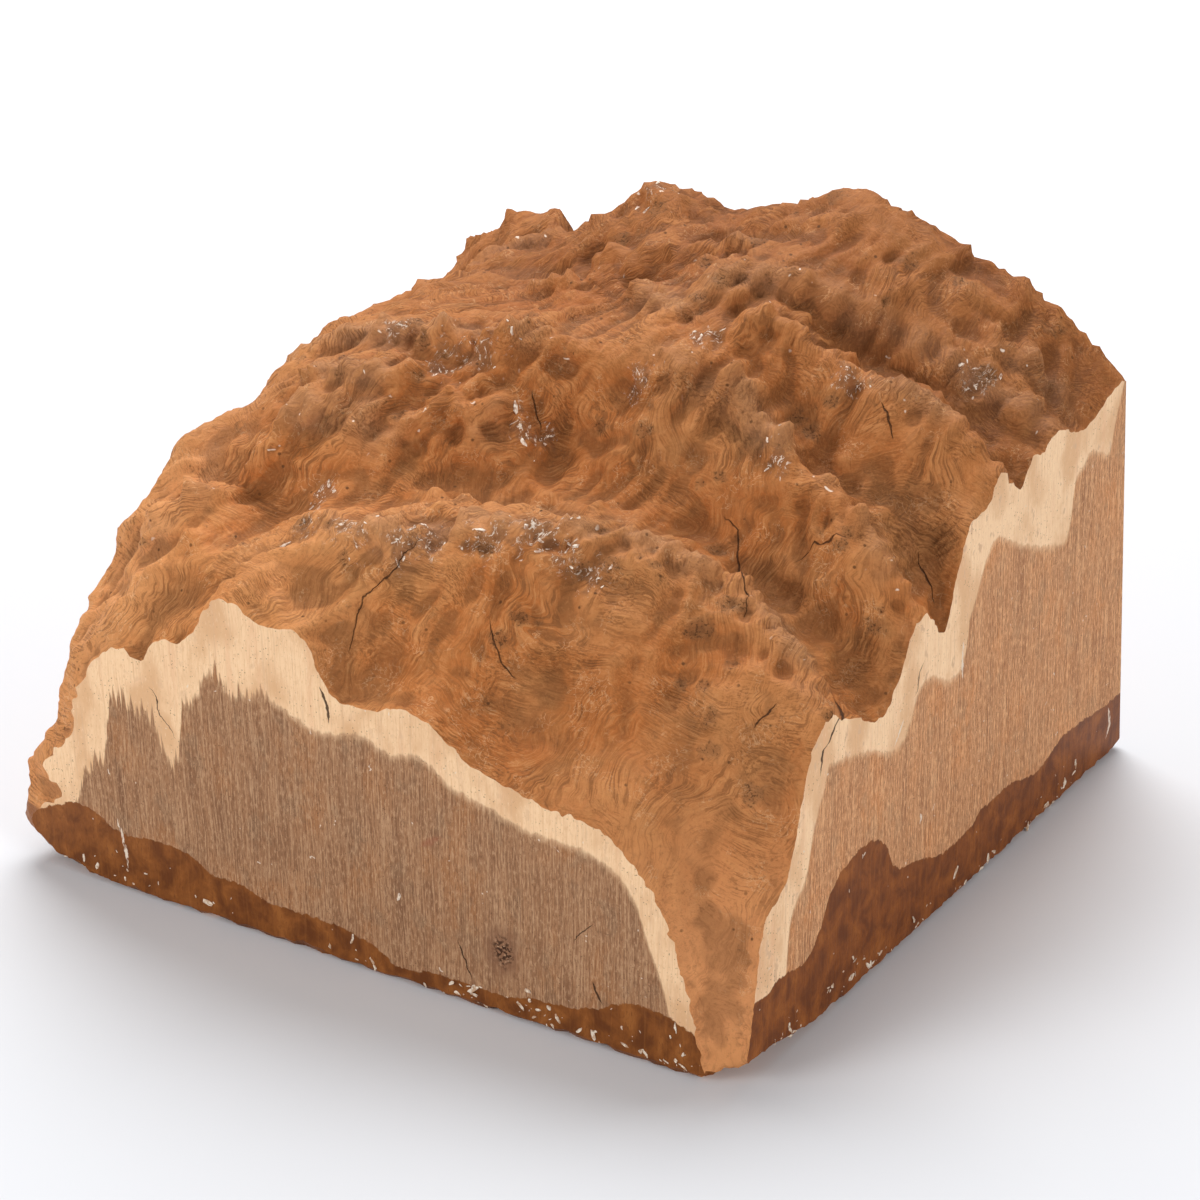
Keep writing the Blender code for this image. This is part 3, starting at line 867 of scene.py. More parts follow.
class Finish:
    # one material, built from the Principled shader; places are in millimetres
    def __init__(self, name, colours=None):
        self.colours = colours
        self.material = bpy.data.materials.new(name)
        self.material.use_nodes = True
        self.tree = self.material.node_tree
        self.shader = self.tree.nodes["Principled BSDF"]
        place = self.node("ShaderNodeTexCoord", output="Object")
        self.place = self.vector("MULTIPLY_ADD", place, Vector((1 / mm,) * 3), -corner / mm)
        made = self.node("ShaderNodeSeparateXYZ", {}, {0: self.place}).socket.node
        self.x, self.y, self.z = (Value(self, socket) for socket in made.outputs)

    def node(self, kind, settings=None, inputs=None, output=0):
        made = self.tree.nodes.new(kind)
        for name, value in (settings or {}).items():
            if name == "points":
                self.bend(made.mapping, value)
            else:
                setattr(made, name, value)
        for name, value in (inputs or {}).items():
            if isinstance(value, Value):
                self.tree.links.new(value.socket, made.inputs[name])
            else:
                made.inputs[name].default_value = value
        return Value(self, made.outputs[output])

    def bend(self, mapping, points):
        curve = mapping.curves[0]
        for place, (x, y) in zip((curve.points[0], curve.points[-1]), (points[0], points[-1])):
            place.location = (x, y)
        for x, y in points[1:-1]:
            curve.points.new(x, y)
        for point in curve.points:
            point.handle_type = "AUTO_CLAMPED"
        mapping.update()

    def vector(self, operation, *inputs, output=0):
        settings = {"operation": operation}
        return self.node("ShaderNodeVectorMath", settings, dict(enumerate(inputs)), output)

    def join(self, x, y, z):
        return self.node("ShaderNodeCombineXYZ", {}, {0: x, 1: y, 2: z})

    def scaled(self, size, place):
        sizes = size if isinstance(size, tuple) else (size,) * 3
        return self.vector("DIVIDE", place or self.place, Vector(sizes))

    def grain(self, size, place=None, detail=2.0, roughness=0.5):
        # noise from 0 to 1 whose spots are about size across
        return self.node("ShaderNodeTexNoise", {}, {
            "Vector": self.scaled(size, place), "Scale": 1.0, "Detail": detail,
            "Roughness": roughness,
        })

    def swirl(self, size, amount, place=None):
        # the places, pushed about by noise
        inputs = {"Vector": self.scaled(size, place), "Scale": 1.0, "Detail": 0.0}
        push = self.node("ShaderNodeTexNoise", {}, inputs, output=1)
        push = self.vector("SUBTRACT", push, Vector((0.5,) * 3))
        return self.vector("MULTIPLY_ADD", push, Vector((amount,) * 3), place or self.place)

    def dots(self, size, place=None):
        # distance to the nearest of scattered dots, in dot spacings
        inputs = {"Vector": self.scaled(size, place), "Scale": 1.0}
        return self.node("ShaderNodeTexVoronoi", {"feature": "F1"}, inputs)

    def step(self, low, high, value):
        # smooth rise from 0 at low to 1 at high
        return self.node("ShaderNodeMapRange", {"interpolation_type": "SMOOTHSTEP"}, {
            "Value": value, "From Min": low, "From Max": high, "To Min": 0.0, "To Max": 1.0,
        })

    def drop(self, low, high, value):
        return 1.0 - self.step(low, high, value)

    def colour(self, given):
        # a link, or a colour by its name or its three values
        if isinstance(given, Value):
            return given
        return (*(self.colours[given] if isinstance(given, str) else given), 1.0)

    def mix(self, share, first, second, blend="MIX"):
        settings = {"data_type": "RGBA", "blend_type": blend, "clamp_factor": True}
        inputs = {0: share, 6: self.colour(first), 7: self.colour(second)}
        return self.node("ShaderNodeMix", settings, inputs, output=2)

    def tinted(self, colour, tint, share=1.0):
        return self.mix(share, colour, tint, blend="MULTIPLY")

    def layers(self, colour, *rows):
        # each row: what is read, where its mask is 0 and 1, its strength and its colour
        for value, low, high, share, name in rows:
            colour = self.mix(self.step(low, high, value) * share, colour, name)
        return colour

    def line(self, across, points, low, high, top):
        # height of a given line over its run
        spots = [((a - low) / (high - low), h / top) for a, h in points]
        return self.curve((across - low) / (high - low), spots) * top

    def curve(self, share, spots):
        return self.node("ShaderNodeFloatCurve", {"points": spots}, {"Value": share})

    def mark(self, name):
        return self.node("ShaderNodeAttribute", {"attribute_name": name}, output="Fac")

    def bump(self, height, strength, distance=mm):
        return self.node("ShaderNodeBump", {}, {
            "Height": height, "Strength": strength, "Distance": distance,
        })

    def set(self, **sockets):
        for name, value in sockets.items():
            socket = self.shader.inputs[name.replace("_", " ")]
            if isinstance(value, Value):
                self.tree.links.new(value.socket, socket)
            else:
                socket.default_value = value
        return self.material


skinColours = {
    "dark": (0.190, 0.070, 0.022),
    "middle": (0.450, 0.175, 0.056),
    "light": (0.60, 0.262, 0.092),
    "red": (0.430, 0.136, 0.033),
    "rear": (0.330, 0.120, 0.037),
    # darker and redder towards the back, the darkening painted shade; lighter at the front left,
    # painted light
    "rearTint": (0.87, 0.80, 0.74),
    "frontTint": (1.20, 1.24, 1.28),
    # the dark of the pits, also painted shade in the hollows
    "groove": (0.090, 0.035, 0.012),
    "olive": (0.255, 0.128, 0.044),
    "eye": (0.205, 0.098, 0.042),
    "grey": (0.285, 0.155, 0.088),
    "corner": (0.66, 0.285, 0.112),
    "bark": (0.150, 0.072, 0.040),
    "pale": (0.95, 0.80, 0.66),
    "curl": (0.70, 0.400, 0.200),
    # painted shade inside the cracks
    "crack": (0.050, 0.019, 0.008),
    "wet": (0.22, 0.070, 0.018),
    "redCentre": (-150.0, 100.0, 125.0),  # a place: the middle of the reddest skin
}


def fibres(finish):
    # hair-thin wavy lines that swirl; most run downhill and some patches run across
    fanX, fanY = growth["fanCentre"]
    side, front = finish.x - fanX, fanY - finish.y
    away = (side * side + front * front) ** 0.5
    spread = finish.join(side.angle(front) * growth["fanRadius"], away, finish.z)
    for size, amount in ((30.0, 22.5), (9.0, 5.2), (3.0, 1.15)):
        spread = finish.swirl(size, amount, spread)
    along = finish.grain((0.62, 11.0, 9.0), spread, detail=3.0, roughness=0.72)
    across = finish.grain((11.0, 0.62, 0.8), spread, detail=3.0, roughness=0.72)
    patch = finish.step(0.46, 0.56, finish.grain(26.0))
    return along * (1.0 - patch) + across * patch


def skinFinish():
    skin = Finish("burl skin", skinColours)
    thread = fibres(skin)
    broad = skin.grain(38.0)
    cloud = skin.grain(11.0, detail=4.0, roughness=0.6)
    speckle = skin.grain(1.1, detail=3.0, roughness=0.7)
    hollow, valley, crest, eye = (skin.mark(name) for name in ("hollow", "valley", "crest", "eye"))
    fromRed = skin.vector("DISTANCE", skin.place, skinColours["redCentre"], output="Value")
    colour = skin.layers(
        skin.mix(skin.step(0.36, 0.64, broad), "red", "middle"),
        # darker towards the back: painted shade
        (skin.y, 105.0, 185.0, 0.8, "rear"),
        (fromRed, 85.0, 25.0, 0.55, "red"),
        (cloud, 0.48, 0.74, 0.40, "light"),
        (cloud, 0.52, 0.30, 0.30, "olive"),
    )
    greyed = skin.step(0.25, 0.75, crest) * skin.step(0.40, 0.58, broad)
    pale = skin.drop(30.0, 88.0, skin.z) * skin.step(-90.0, -30.0, skin.x)
    colour = skin.mix(greyed * 0.55, colour, "grey")
    colour = skin.layers(
        skin.mix(pale * 0.9, colour, "corner"),
        # the left rim lighter: painted light
        (skin.x, -188.0, -212.0, 0.5, "corner"),
        # painted highlight on the ridges, and painted shade with some dirt in the valleys
        (valley, 0.0, -1.6, 0.3, "light"),
        (valley, 0.0, 3.4, 0.25, "dark"),
    )
    # fibres, stronger in patches
    strong = 0.34 + 0.40 * skin.step(0.42, 0.62, skin.grain(15.0))
    strong = strong * (1.0 - pale * 0.45)
    worm = skin.drop(0.0, 0.03, abs(skin.grain(2.1, skin.swirl(5.0, 4.0)) - 0.5))
    worm = worm * skin.step(0.54, 0.64, skin.grain(8.0))
    colour = skin.layers(
        colour,
        (thread, 0.50, 0.41, strong * 0.9, "dark"),
        (thread, 0.52, 0.62, strong * 0.85, "light"),
    )
    colour = skin.layers(
        skin.mix(worm * 0.55, colour, "curl"),
        # painted shade in the small hollows
        (hollow, 0.05, 0.40, 0.35, "groove"),
        (speckle, 0.54, 0.68, 0.26, "dark"),
        (speckle, 0.46, 0.34, 0.20, "light"),
    )
    # darker towards the back as painted shade, and redder; lighter along the front on the left as
    # painted light
    colour = skin.tinted(colour, "rearTint", skin.step(110.0, 180.0, skin.y))
    frontLeft = skin.drop(38.0, 80.0, skin.y) * skin.drop(-115.0, -75.0, skin.x)
    colour = skin.tinted(colour, "frontTint", frontLeft)
    # old bark on the crests
    barkShare = skin.mark("bark") + (skin.grain(5.0, detail=3.0) - 0.5) * 1.8
    flaky = skin.grain((0.8, 2.6, 1.6), skin.swirl(6.0, 6.0), detail=4.0, roughness=0.75)
    crust = skin.step(0.565, 0.62, flaky) * skin.step(0.45, 0.85, barkShare)
    colour = skin.layers(colour, (barkShare, 0.55, 0.85, 0.45, "bark"))
    colour = skin.mix(crust * 0.85, colour, "pale")
    # burl eyes, as clusters of dark pits
    pits = skin.step(0.545, 0.60, skin.grain(0.85, skin.swirl(2.0, 1.5), detail=3.0, roughness=0.6))
    eyeMask = skin.step(0.10, 0.60, eye + (skin.grain(3.0, detail=3.0) - 0.5) * 1.5)
    loosePits = skin.drop(0.06, 0.13, skin.dots(5.0)) * skin.step(0.45, 0.6, cloud)
    flecks = skin.drop(0.05, 0.11, skin.dots(6.3, skin.swirl(3.0, 4.0)))
    # cracks, their dark inside painted shade, and clear wax on the lower part of the foot
    crackHalf = skin.mark("crackHalf")
    side = skin.mark("crackSide") + (skin.grain(3.4) - 0.5) * 1.3
    crack = skin.drop(-0.15, 0.10, abs(side) - crackHalf) * skin.step(0.02, 0.10, crackHalf)
    wetLine = 16.0 + (skin.grain(14.0) - 0.5) * 8.0
    wet = skin.drop(-0.4, 0.4, skin.z - wetLine) * skin.drop(-202.0, -196.0, skin.x)
    for mask, name in (
        (eyeMask * 0.40, "eye"), (pits * eyeMask * 0.75, "groove"), (loosePits * 0.8, "groove"),
        (flecks * skin.step(0.3, 0.7, crest) * 0.8, "pale"), (crack * 0.85, "crack"),
        (wet * 0.8, "wet"),
    ):
        colour = skin.mix(mask, colour, name)
    height = thread * strong * 1.2 + speckle * 0.45 + skin.grain(3.2) * 0.6 - crack * 1.2
    return skin.set(
        Base_Color=colour,
        Roughness=0.66 - wet * 0.2,
        Coat_Weight=wet * 0.15,
        Normal=skin.bump(height, 0.8),
        Specular_IOR_Level=0.12,
        Coat_Roughness=0.3,
    )


sawnColours = {
    "sap": (0.90, 0.61, 0.365),
    "sapShade": (0.72, 0.43, 0.23),
    "sapLight": (0.96, 0.72, 0.47),
    "sapPink": (0.76, 0.42, 0.235),
    "heart": (0.43, 0.222, 0.116),
    "heartLight": (0.66, 0.41, 0.245),
    "heartDark": (0.235, 0.112, 0.060),
    "heartOrange": (0.50, 0.215, 0.085),
    "heartGrey": (0.33, 0.200, 0.120),
    "wax": (0.195, 0.062, 0.012),
    "waxDark": (0.115, 0.033, 0.006),
    "waxLight": (0.320, 0.118, 0.028),
    "pore": (0.12, 0.055, 0.028),
    "fleck": (0.84, 0.70, 0.56),
    # painted shade inside the cracks, also the dark lines in the knot
    "crack": (0.045, 0.018, 0.008),
    "stain": (0.30, 0.085, 0.045),
}

# Where the dark heartwood and the wax end: (x, z) on the front, (y, z) on the right
frontFace = {
    "run": (-240.0, 0.0),
    "tint": (0.82, 0.79, 0.74),  # how light this face's heartwood, sapwood and wax are
    "sapTint": (1.0, 1.0, 1.0),
    "waxTint": (1.14, 1.10, 1.0),
    "spots": 0.35,  # how much of the sapwood's brown spotting shows
    "heart": [
        (-214, 29), (-210, 37), (-206, 40), (-204, 52), (-200, 62), (-195, 59), (-190, 59),
        (-185, 49), (-182, 46), (-179, 52), (-178, 65), (-174, 68), (-171, 74), (-167, 79),
        (-164, 76), (-162, 71), (-157, 74), (-152, 76), (-145, 73), (-139, 71), (-133, 69),
        (-127, 70), (-119, 72), (-109, 69), (-101, 71), (-96, 69), (-90, 65), (-78, 62),
        (-67, 59), (-49, 58), (-38, 54), (-33, 48), (-30, 41), (-27, 32), (-24, 25), (-22, 17),
    ],
    "wax": [
        (-228, 17), (-215, 22), (-199, 17), (-190, 18), (-177, 17), (-169, 13), (-162, 13),
        (-151, 10), (-132, 10), (-122, 9), (-113, 6), (-108, 3), (-94, 5), (-76, 5), (-64, 7),
        (-54, 8), (-44, 11), (-38, 14), (-32, 16), (-28, 16), (-21, 15), (-15, 13),
    ],
    "brushed": (-140.0, -165.0),  # the heartwood's edge is frayed from here to the left
    "lean": (-45.0, -170.0, 0.05),
    "cracks": [
        ([(72, -129), (78, -129.5), (84, -132)], 0.5),
        ([(6, -83.5), (12, -86), (18, -88.5)], 0.3),
        ([(12, -42), (15, -44), (19, -45.5)], 0.45),
        ([(52, -180), (56, -182.5), (60, -186), (64, -186.5), (68, -190)], 0.22),
        ([(29, -52), (31, -50.5), (34, -48), (37, -45)], 0.25),
    ],
    "drips": [([(5, -199), (13, -200), (22, -202.5)], 0.5), ([(24, -108), (27, -107)], 0.5)],
    "knot": (-74.0, 19.0, 6.8),
    "stain": (-97.0, 46.0, 6.0),
}
rightFace = {
    "run": (0.0, 225.0),
    # the right face's lighter sapwood is painted light, and its lighter heartwood is partly its own
    # colour and partly painted light
    "tint": (1.32, 1.20, 1.04),
    "sapTint": (1.10, 1.12, 1.15),
    "waxTint": (1.22, 1.05, 0.72),
    "spots": 0.9,
    "heart": [
        (24, 27), (24.5, 33), (26, 40), (34, 49), (36, 57), (39, 65), (43, 72), (45, 77),
        (53, 75), (66, 71), (83, 64), (89, 68), (93, 75), (97, 78), (115, 71), (121, 77),
        (122, 85), (126, 91), (129, 97), (132, 101), (136, 104), (140, 103), (146, 99),
        (159, 92), (171, 87), (178, 85), (182, 88), (183, 97), (185, 103), (190, 105),
        (192, 107), (205, 102), (207, 108), (209, 113),
    ],
    "wax": [
        (9, 23), (13, 22), (21, 24), (33, 22), (41, 27), (47, 36), (55, 41), (67, 42), (76, 38),
        (84, 26), (97, 22), (112, 17), (125, 17), (135, 20), (149, 20), (167, 16), (186, 20),
        (206, 18), (220, 17),
    ],
    "brushed": (-20.0, -10.0),
    "lean": (0.0, 200.0, 0.02),
    "cracks": [
        ([(75, 40), (79, 40.5), (83, 41.5), (84, 44.5), (87, 47), (90, 50.5), (93, 51.5)], 0.6),
        ([(75, 89.5), (77, 93), (81, 93.5), (85, 97)], 0.25),
    ],
    "drips": [
        ([(67, 119.5), (74, 119), (81, 119)], 0.6), ([(65, 80.5), (68, 83), (72, 86)], 0.6),
        ([(33, 97), (35, 97.5), (37, 97)], 0.5), ([(5, 212), (10, 214), (16, 213)], 0.7),
    ],
}
backFace = {
    "run": (-240.0, 6.0),
    "tint": (1.0, 0.95, 0.88),
    "sapTint": (1.0, 1.0, 1.0),
    "waxTint": (1.14, 1.10, 1.0),
    "spots": 0.35,
    "heart": [(x, z - 13) for x, z in edges["back"]],
    "wax": [
        (-232, 16), (-200, 20), (-170, 17), (-130, 22), (-90, 14), (-50, 18), (-20, 15), (0, 19),
    ],
    "brushed": (-150.0, -175.0),
    "lean": (-45.0, -170.0, 0.08),
    "cracks": [([(60, -110), (75, -108), (95, -112)], 0.35)],
    "drips": [([(8, -60), (14, -61), (22, -60)], 0.5)],
}
lineTop = 180.0  # above every line of the heartwood and the wax


def faceCrack(finish, across, points, half):
    # a crack that runs up the face: its place across is a curve over height
    low, high = points[0][0], points[-1][0]
    places = [place for _, place in points]
    left, width = min(places) - 1.0, max(places) - min(places) + 2.0
    spots = [((z - low) / (high - low), (place - left) / width) for z, place in points]
    share = (finish.z - low) / (high - low)
    middle = left + finish.curve(share, spots) * width + (finish.grain(2.2) - 0.5) * 1.6
    taper = finish.step(0.0, 0.35, share) * finish.drop(0.75, 1.0, share)
    opening = finish.drop(0.6, 1.15, abs(across - middle) / (half * taper + 0.001))
    return opening * finish.step(0.02, 0.1, taper)


def heartwood(wood, face, grains):
    fine, marks, bands, cloud, fuzz = grains
    blotch = wood.grain((9.0, 9.0, 13.0), detail=4.0, roughness=0.6)
    return wood.tinted(wood.layers(
        wood.mix(wood.step(0.10, 0.60, bands), "heartDark", "heart"),
        (cloud, 0.42, 0.62, 0.50, "heart"),
        (cloud, 0.50, 0.66, 0.50, "heartOrange"),
        (blotch, 0.48, 0.36, 0.55, "heartGrey"),
        (blotch, 0.55, 0.70, 0.35, "heartLight"),
        (marks, 0.52, 0.64, 0.34, "heartLight"),
        (marks, 0.46, 0.34, 0.30, "heartDark"),
        (fine, 0.52, 0.60, 0.50, "heartLight"),
        (fine, 0.48, 0.39, 0.52, "heartDark"),
        (fuzz, 0.53, 0.62, 0.62, "heartLight"),
        (fuzz, 0.47, 0.37, 0.62, "heartDark"),
    ), face["tint"])


def sapwood(wood, face, grains):
    fine, marks, bands, cloud, fuzz = grains
    return wood.tinted(wood.layers(
        wood.mix(wood.step(0.36, 0.56, cloud), "sapShade", "sap"),
        (fine, 0.50, 0.36, 0.50, "sapShade"),
        (marks, 0.47, 0.35, 0.40, "heartLight"),
        (bands, 0.56, 0.70, 0.35, "sapPink"),
        (fuzz, 0.47, 0.36, 0.55, "sapShade"),
        (fuzz, 0.56, 0.68, 0.35, "sapLight"),
        (wood.grain((4.0, 4.0, 6.0), detail=3.0), 0.60, 0.68, face["spots"], "heartLight"),
    ), face["sapTint"])


def addKnot(wood, colour, across, knot):
    # a small dark knot with a ragged ring of bark in it
    knotX, knotZ, radius = knot
    off = wood.join((across - knotX) * 1.35, 0.0, wood.z - knotZ)
    away = wood.vector("LENGTH", off, output="Value") + (wood.grain(2.5, detail=3.0) - 0.5) * 6.0
    inner = wood.drop(radius * 0.35, radius * 0.85, away)
    return wood.layers(
        colour,
        (away, radius * 1.6, radius * 0.5, 0.8, "heartDark"),
        (wood.grain(1.1, detail=3.0), 0.46, 0.54, inner * 0.95, "crack"),
        (wood.grain(1.4), 0.62, 0.66, inner * 0.6, "heartLight"),
    )


def addStain(wood, colour, across, stain):
    # a slanting reddish smear
    side, up, radius = across - stain[0], wood.z - stain[1], stain[2]
    along = abs(side + up * 0.3)
    off = abs(up - side * 0.7) + along * 0.25 + (wood.grain(1.8) - 0.5) * 2.0
    return wood.layers(colour, (off, 2.2, 0.3, wood.drop(0.6, 1.0, along / radius) * 0.45, "stain"))


def sawnFinish(name, face, axis):
    wood = Finish(name, sawnColours)
    across = {"x": wood.x, "y": wood.y}[axis]
    low, high = face["run"]
    leanFrom, leanTo, lean = face["lean"]
    fan = ((across - leanFrom) / (leanTo - leanFrom)).largest(0.0).smallest(1.0)
    # streaks and saw marks run nearly upright, fanned out to the left
    upright = across + wood.z * fan * lean + (wood.grain(20.0) - 0.5) * 2.0
    flat = wood.join(upright, 0.0, wood.z)
    fine = wood.grain((0.45, 1.0, 18.0), flat, detail=3.0, roughness=0.65)
    marks = wood.grain((1.3, 1.0, 55.0), flat, detail=3.0, roughness=0.7)
    bands = wood.grain((5.0, 1.0, 60.0), flat)
    cloud = wood.grain((16.0, 16.0, 24.0), detail=3.0)
    fuzz = wood.grain((0.6, 0.6, 2.4), detail=3.0, roughness=0.7)
    grains = (fine, marks, bands, cloud, fuzz)
    # the edge of the heartwood: soft on the right, frayed like a brush on the left
    edge = wood.line(across, face["heart"], low, high, lineTop)
    brush = wood.drop(*sorted(face["brushed"]), across)
    frayed = (wood.grain((1.2, 1.0, 60.0), flat, detail=3.0) - 0.5) * (2.0 + brush * 22.0)
    frayed = frayed + (wood.grain((2.5, 2.5, 3.0), detail=3.0) - 0.5) * 3.0
    gap = wood.z - edge - frayed
    sapShare = wood.step(-0.9, 0.9, gap).largest(wood.step(-2.4, 1.4, gap) * 0.7)
    colour = wood.mix(sapShare, heartwood(wood, face, grains), sapwood(wood, face, grains))
    # open pores, thick near the front corner
    nearCorner = wood.drop(8.0, 40.0, abs(across))
    poreZone = wood.step(0.40, 0.62, wood.grain(9.0)) * 0.7 + 0.15 + nearCorner * 0.4
    colour = wood.layers(colour, (wood.dots(1.15), 0.22, 0.10, poreZone * 0.75, "pore"))
    # cracks painted dark: painted shade inside them
    for points, half in face["cracks"]:
        colour = wood.mix(faceCrack(wood, across, points, half) * 0.92, colour, "crack")
    for name, add in (("knot", addKnot), ("stain", addStain)):
        if name in face:
            colour = add(wood, colour, across, face[name])
    # clear wax has wetted the lower edge
    waxLine = wood.line(across, face["wax"], low, high, lineTop)
    ragged = (wood.grain(1.6, detail=3.0) - 0.5) * 2.2 + (wood.grain(5.0, detail=1.0) - 0.5) * 2.0
    wet = wood.drop(-0.2, 0.2, wood.z - waxLine + ragged)
    mottle = wood.grain((6.5, 6.5, 9.0), wood.swirl(8.0, 6.0), detail=5.0, roughness=0.62)
    waxed = wood.tinted(wood.layers(
        wood.mix(wood.step(0.36, 0.56, mottle), "waxDark", "wax"),
        (mottle, 0.53, 0.70, 0.6, "waxLight"),
        (marks, 0.52, 0.68, 0.25, "waxLight"),
        (fuzz, 0.46, 0.34, 0.6, "waxDark"),
    ), face["waxTint"])
    colour = wood.mix(wet, colour, waxed)
    for points, half in face["drips"]:
        drip = faceCrack(wood, across, points, half) * wood.step(0.40, 0.50, fuzz)
        colour = wood.mix(drip * 0.9, colour, "fleck")
    specks = wood.dots(7.5, wood.swirl(2.0, 4.0))
    colour = wood.layers(colour, (specks, 0.07, 0.035, 0.75, "fleck"))
    return wood.set(
        Base_Color=colour,
        Roughness=0.74 - wet * 0.26,
        Coat_Weight=wet * 0.06,
        Normal=wood.bump(marks * 0.5 + fine * 0.5 + fuzz * 0.4, 0.4 - wet * 0.22),
        Specular_IOR_Level=0.15,
        Coat_Roughness=0.25,
    )


def baseFinish():
    base = Finish("waxed base", sawnColours)
    cloud = base.grain((18.0, 30.0, 18.0), detail=4.0)
    marks = base.grain((60.0, 1.4, 1.4))
    blotch = base.step(0.60, 0.70, base.grain(14.0, detail=4.0))
    colour = base.mix(base.step(0.35, 0.65, cloud), "waxDark", "wax")
    colour = base.layers(colour, (marks, 0.48, 0.66, 0.5, "waxLight"))
    return base.set(
        Base_Color=base.mix(blotch * 0.25, colour, "fleck"),
        Roughness=0.34 + blotch * 0.2,
        Normal=base.bump(marks + blotch * 0.5, 0.25),
    )


def crumbFinish(name, given):
    crumbs = Finish(name, given)
    cloud = crumbs.grain(1.2, detail=3.0)
    return crumbs.set(
        Base_Color=crumbs.mix(crumbs.step(0.35, 0.62, cloud), "shade", "colour"),
        Roughness=given["roughness"],
        Normal=crumbs.bump(crumbs.grain(0.6), 0.4),
    )


# Loose scraps

waxFlakes = {
    "seed": 5, "size": (0.15, 1.1), "perEdge": 85, "clusters": 14, "spread": 4.5, "height": 4.2,
    "lowest": 1.2, "frontSpan": (-222.0, -8.0), "rightSpan": (10.0, 218.0),
    "colour": (0.86, 0.74, 0.60), "shade": (0.50, 0.30, 0.17), "roughness": 0.4,
}
barkFlakes = {
    "seed": 12, "size": (0.25, 0.95), "count": 90, "spread": 3.2, "lowest": 50.0,
    "colour": (0.95, 0.82, 0.68), "shade": (0.42, 0.22, 0.13), "roughness": 0.5,
}


def addScrap(shape, centre, normal, sizes, draw):
    # one thin crooked shard that lies on a surface; most are small
    size = sizes[0] + (sizes[1] - sizes[0]) * draw.random() ** 2
    turn = normal.to_track_quat("Z", "Y").to_matrix().to_4x4()
    spin = Matrix.Rotation(draw.uniform(0.0, 2 * math.pi), 4, "Z")
    tilt = Matrix.Rotation(draw.uniform(-0.4, 0.4), 4, "X")
    stretch = Matrix.Diagonal((size * draw.uniform(0.9, 2.6), size * 0.7, size * 0.3, 1.0))
    place = Matrix.Translation(centre) @ turn @ spin @ tilt @ stretch
    made = bmesh.ops.create_icosphere(shape, subdivisions=1, radius=1.0, matrix=place)
    for vertex in made["verts"]:
        vertex.co += Vector(draw.uniform(-0.3, 0.3) * size for _ in range(3))
        vertex.co.z = max(vertex.co.z, block["floor"])


def finishPiece(piece):
    # from design millimetres to the frame's metres, where it rides
    piece.data.transform(Matrix.Translation(corner) @ Matrix.Scale(mm, 4))
    piece.data.update()
    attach(piece, "root")


def fromTheSides(given, draw):
    # rays at the lower front and right edges, in clusters
    for front, span in ((True, given["frontSpan"]), (False, given["rightSpan"])):
        centres = [draw.uniform(*span) for _ in range(given["clusters"])]
        for _ in range(given["perEdge"]):
            along = draw.choice(centres) + draw.gauss(0.0, given["spread"])
            along = min(max(along, span[0]), span[1])
            height = block["floor"] + given["lowest"] + abs(draw.gauss(0.0, given["height"]))
            if front:
                yield Vector((along, -30.0, height)), Vector((0.0, 1.0, 0.0)), 34.0
            else:
                yield Vector((30.0, along, height)), Vector((-1.0, 0.0, 0.0)), 34.0


def fromAbove(given, draw):
    # rays down on the old bark, as far as the lowest place for a flake
    for _ in range(given["count"]):
        x, y = (place + draw.gauss(0.0, given["spread"]) for place in draw.choice(bark["places"]))
        yield Vector((x, y, 300.0)), Vector((0.0, 0.0, -1.0)), 300.0 - given["lowest"]


def makeFlakes(name, finishName, given, rays, skinTree):
    draw = random.Random(given["seed"])
    flakes = bmesh.new()
    for start, way, reach in rays(given, draw):
        place, normal = skinTree.ray_cast(start, way, reach)[:2]
        if place is not None:
            addScrap(flakes, place + normal * 0.05, normal, given["size"], draw)
    finishPiece(newPiece(name, flakes, crumbFinish(finishName, given)))


# Stage, light and camera

studio = {
    "floorSize": 6.0,
    "floorColour": (0.735, 0.748, 0.78),
    "floorCloud": (0.78, 0.78, 0.79),
    "worldStrength": 0.25,
    "lamps": {  # place, size and watts
        "overhead": ((-0.42, 0.74, 1.22), 1.3, 26.0),
        "frontLeft": ((-0.85, -1.55, 0.75), 1.0, 16.0),
        "frontRight": ((1.65, -0.65, 0.75), 1.0, 14.0),
    },
    "aim": (0.0, 0.0, 0.07),
}


def makeFloor():
    shape = bmesh.new()
    bmesh.ops.create_grid(shape, x_segments=1, y_segments=1, size=studio["floorSize"])
    paper = Finish("pale paper", studio)
    floor = newPiece("floor", shape, paper.set(
        Base_Color=paper.mix(paper.grain(300.0) * 0.1, "floorColour", "floorCloud"),
        Roughness=0.85,
    ))


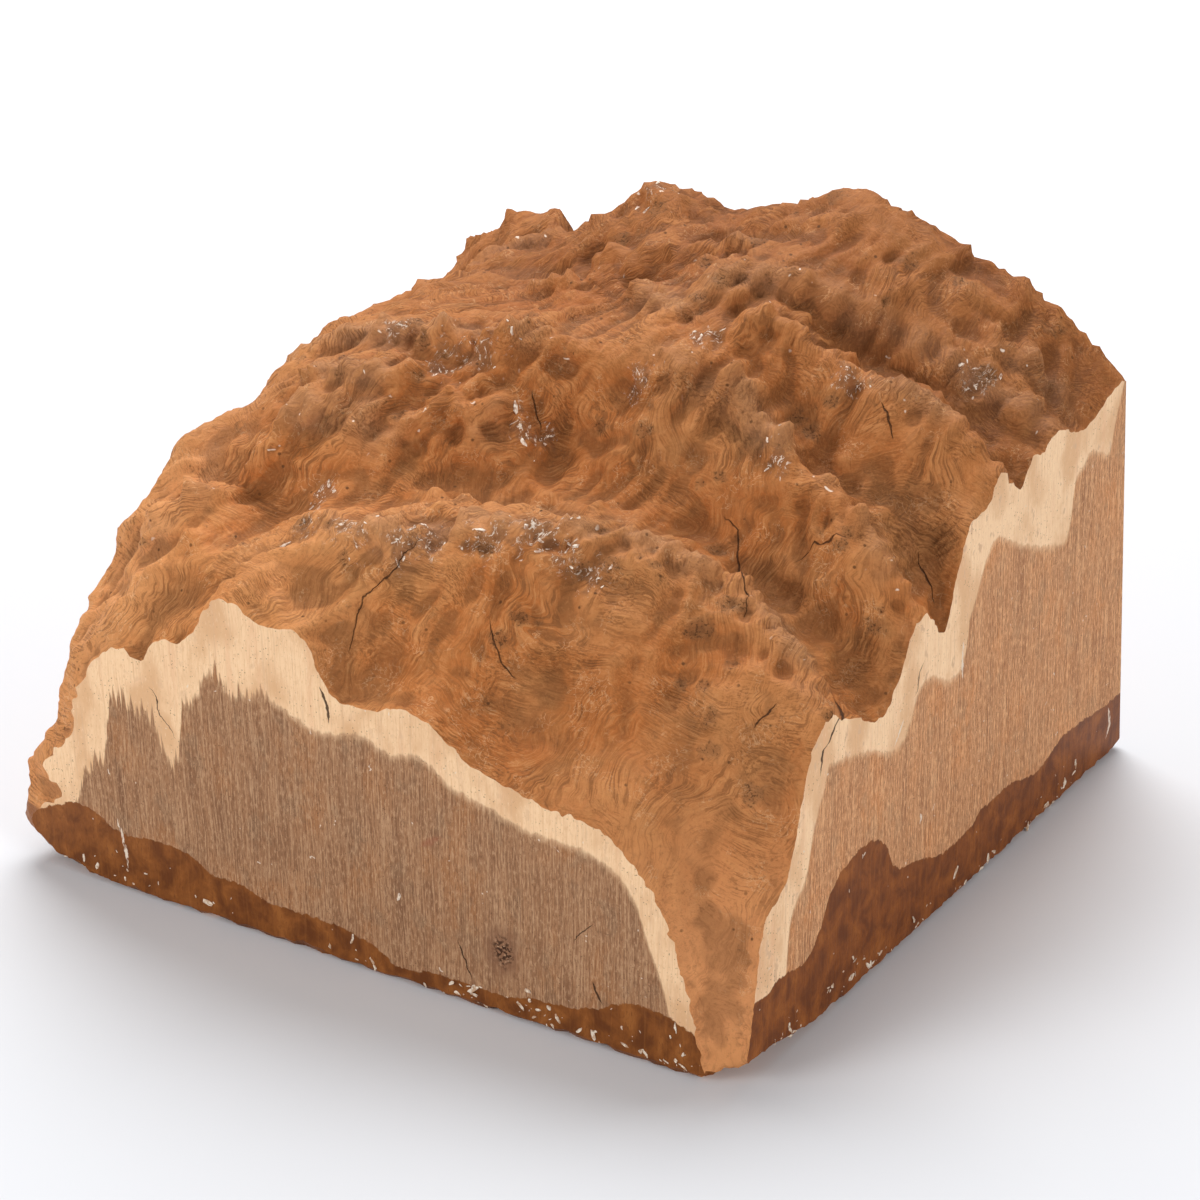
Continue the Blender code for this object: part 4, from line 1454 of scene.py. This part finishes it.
def makeLights():
    world = bpy.data.worlds.new("soft room")
    bpy.context.scene.world = world
    world.use_nodes = True
    sky = world.node_tree.nodes["Background"]
    sky.inputs["Color"].default_value = (1.0, 1.0, 1.0, 1.0)
    sky.inputs["Strength"].default_value = studio["worldStrength"]
    for name, (place, size, watts) in studio["lamps"].items():
        lamp = bpy.data.lights.new(name, "AREA")
        lamp.shape, lamp.size, lamp.energy = "DISK", size, watts
        holder = bpy.data.objects.new(name, lamp)
        holder.location = place
        aim = Vector(studio["aim"]) - holder.location
        holder.rotation_euler = aim.to_track_quat("-Z", "Y").to_euler()
        bpy.context.scene.collection.objects.link(holder)


view = {
    "place": (581.506, -1008.464, 755.546),  # millimetres, as the block's own sizes
    "right": (0.85008, 0.52665, 0.0),
    "up": (-0.24439, 0.39448, 0.88581),
    "lens": 157.16,
}


def makeCamera():
    camera = bpy.data.cameras.new("camera")
    camera.sensor_width = 36.0
    camera.lens = view["lens"]
    camera.clip_start = 0.05
    holder = bpy.data.objects.new("camera", camera)
    right, up = Vector(view["right"]), Vector(view["up"])
    turn = Matrix((right, up, right.cross(up))).transposed().to_4x4()
    place = corner + Vector(view["place"]) * mm
    holder.matrix_world = Matrix.Translation(place) @ turn
    bpy.context.scene.collection.objects.link(holder)
    bpy.context.scene.camera = holder


def makeBlank():
    noise.seed_set(growth["noiseSeed"])
    crown = Crown()
    blank = sawnBurl(crown)
    blank.data.materials.clear()
    for finish in (
        skinFinish(),
        sawnFinish("front saw cut", frontFace, "x"),
        sawnFinish("right saw cut", rightFace, "y"),
        sawnFinish("back saw cut", backFace, "x"),
        baseFinish(),
    ):
        blank.data.materials.append(finish)
    markCuts(blank)
    addMarks(blank, crown)
    tree = bvhtree.BVHTree.FromObject(blank, bpy.context.evaluated_depsgraph_get())
    finishPiece(blank)
    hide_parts("burl_blank")
    return tree


makeCamera()
skinTree = makeBlank()
print("stage: blank finished")
makeFlakes("wax_flakes", "wax crumbs", waxFlakes, fromTheSides, skinTree)
makeFlakes("bark_flakes", "bark crumbs", barkFlakes, fromAbove, skinTree)
print("stage: scraps placed")
makeFloor()
makeLights()
bpy.context.scene.view_settings.view_transform = "Standard"
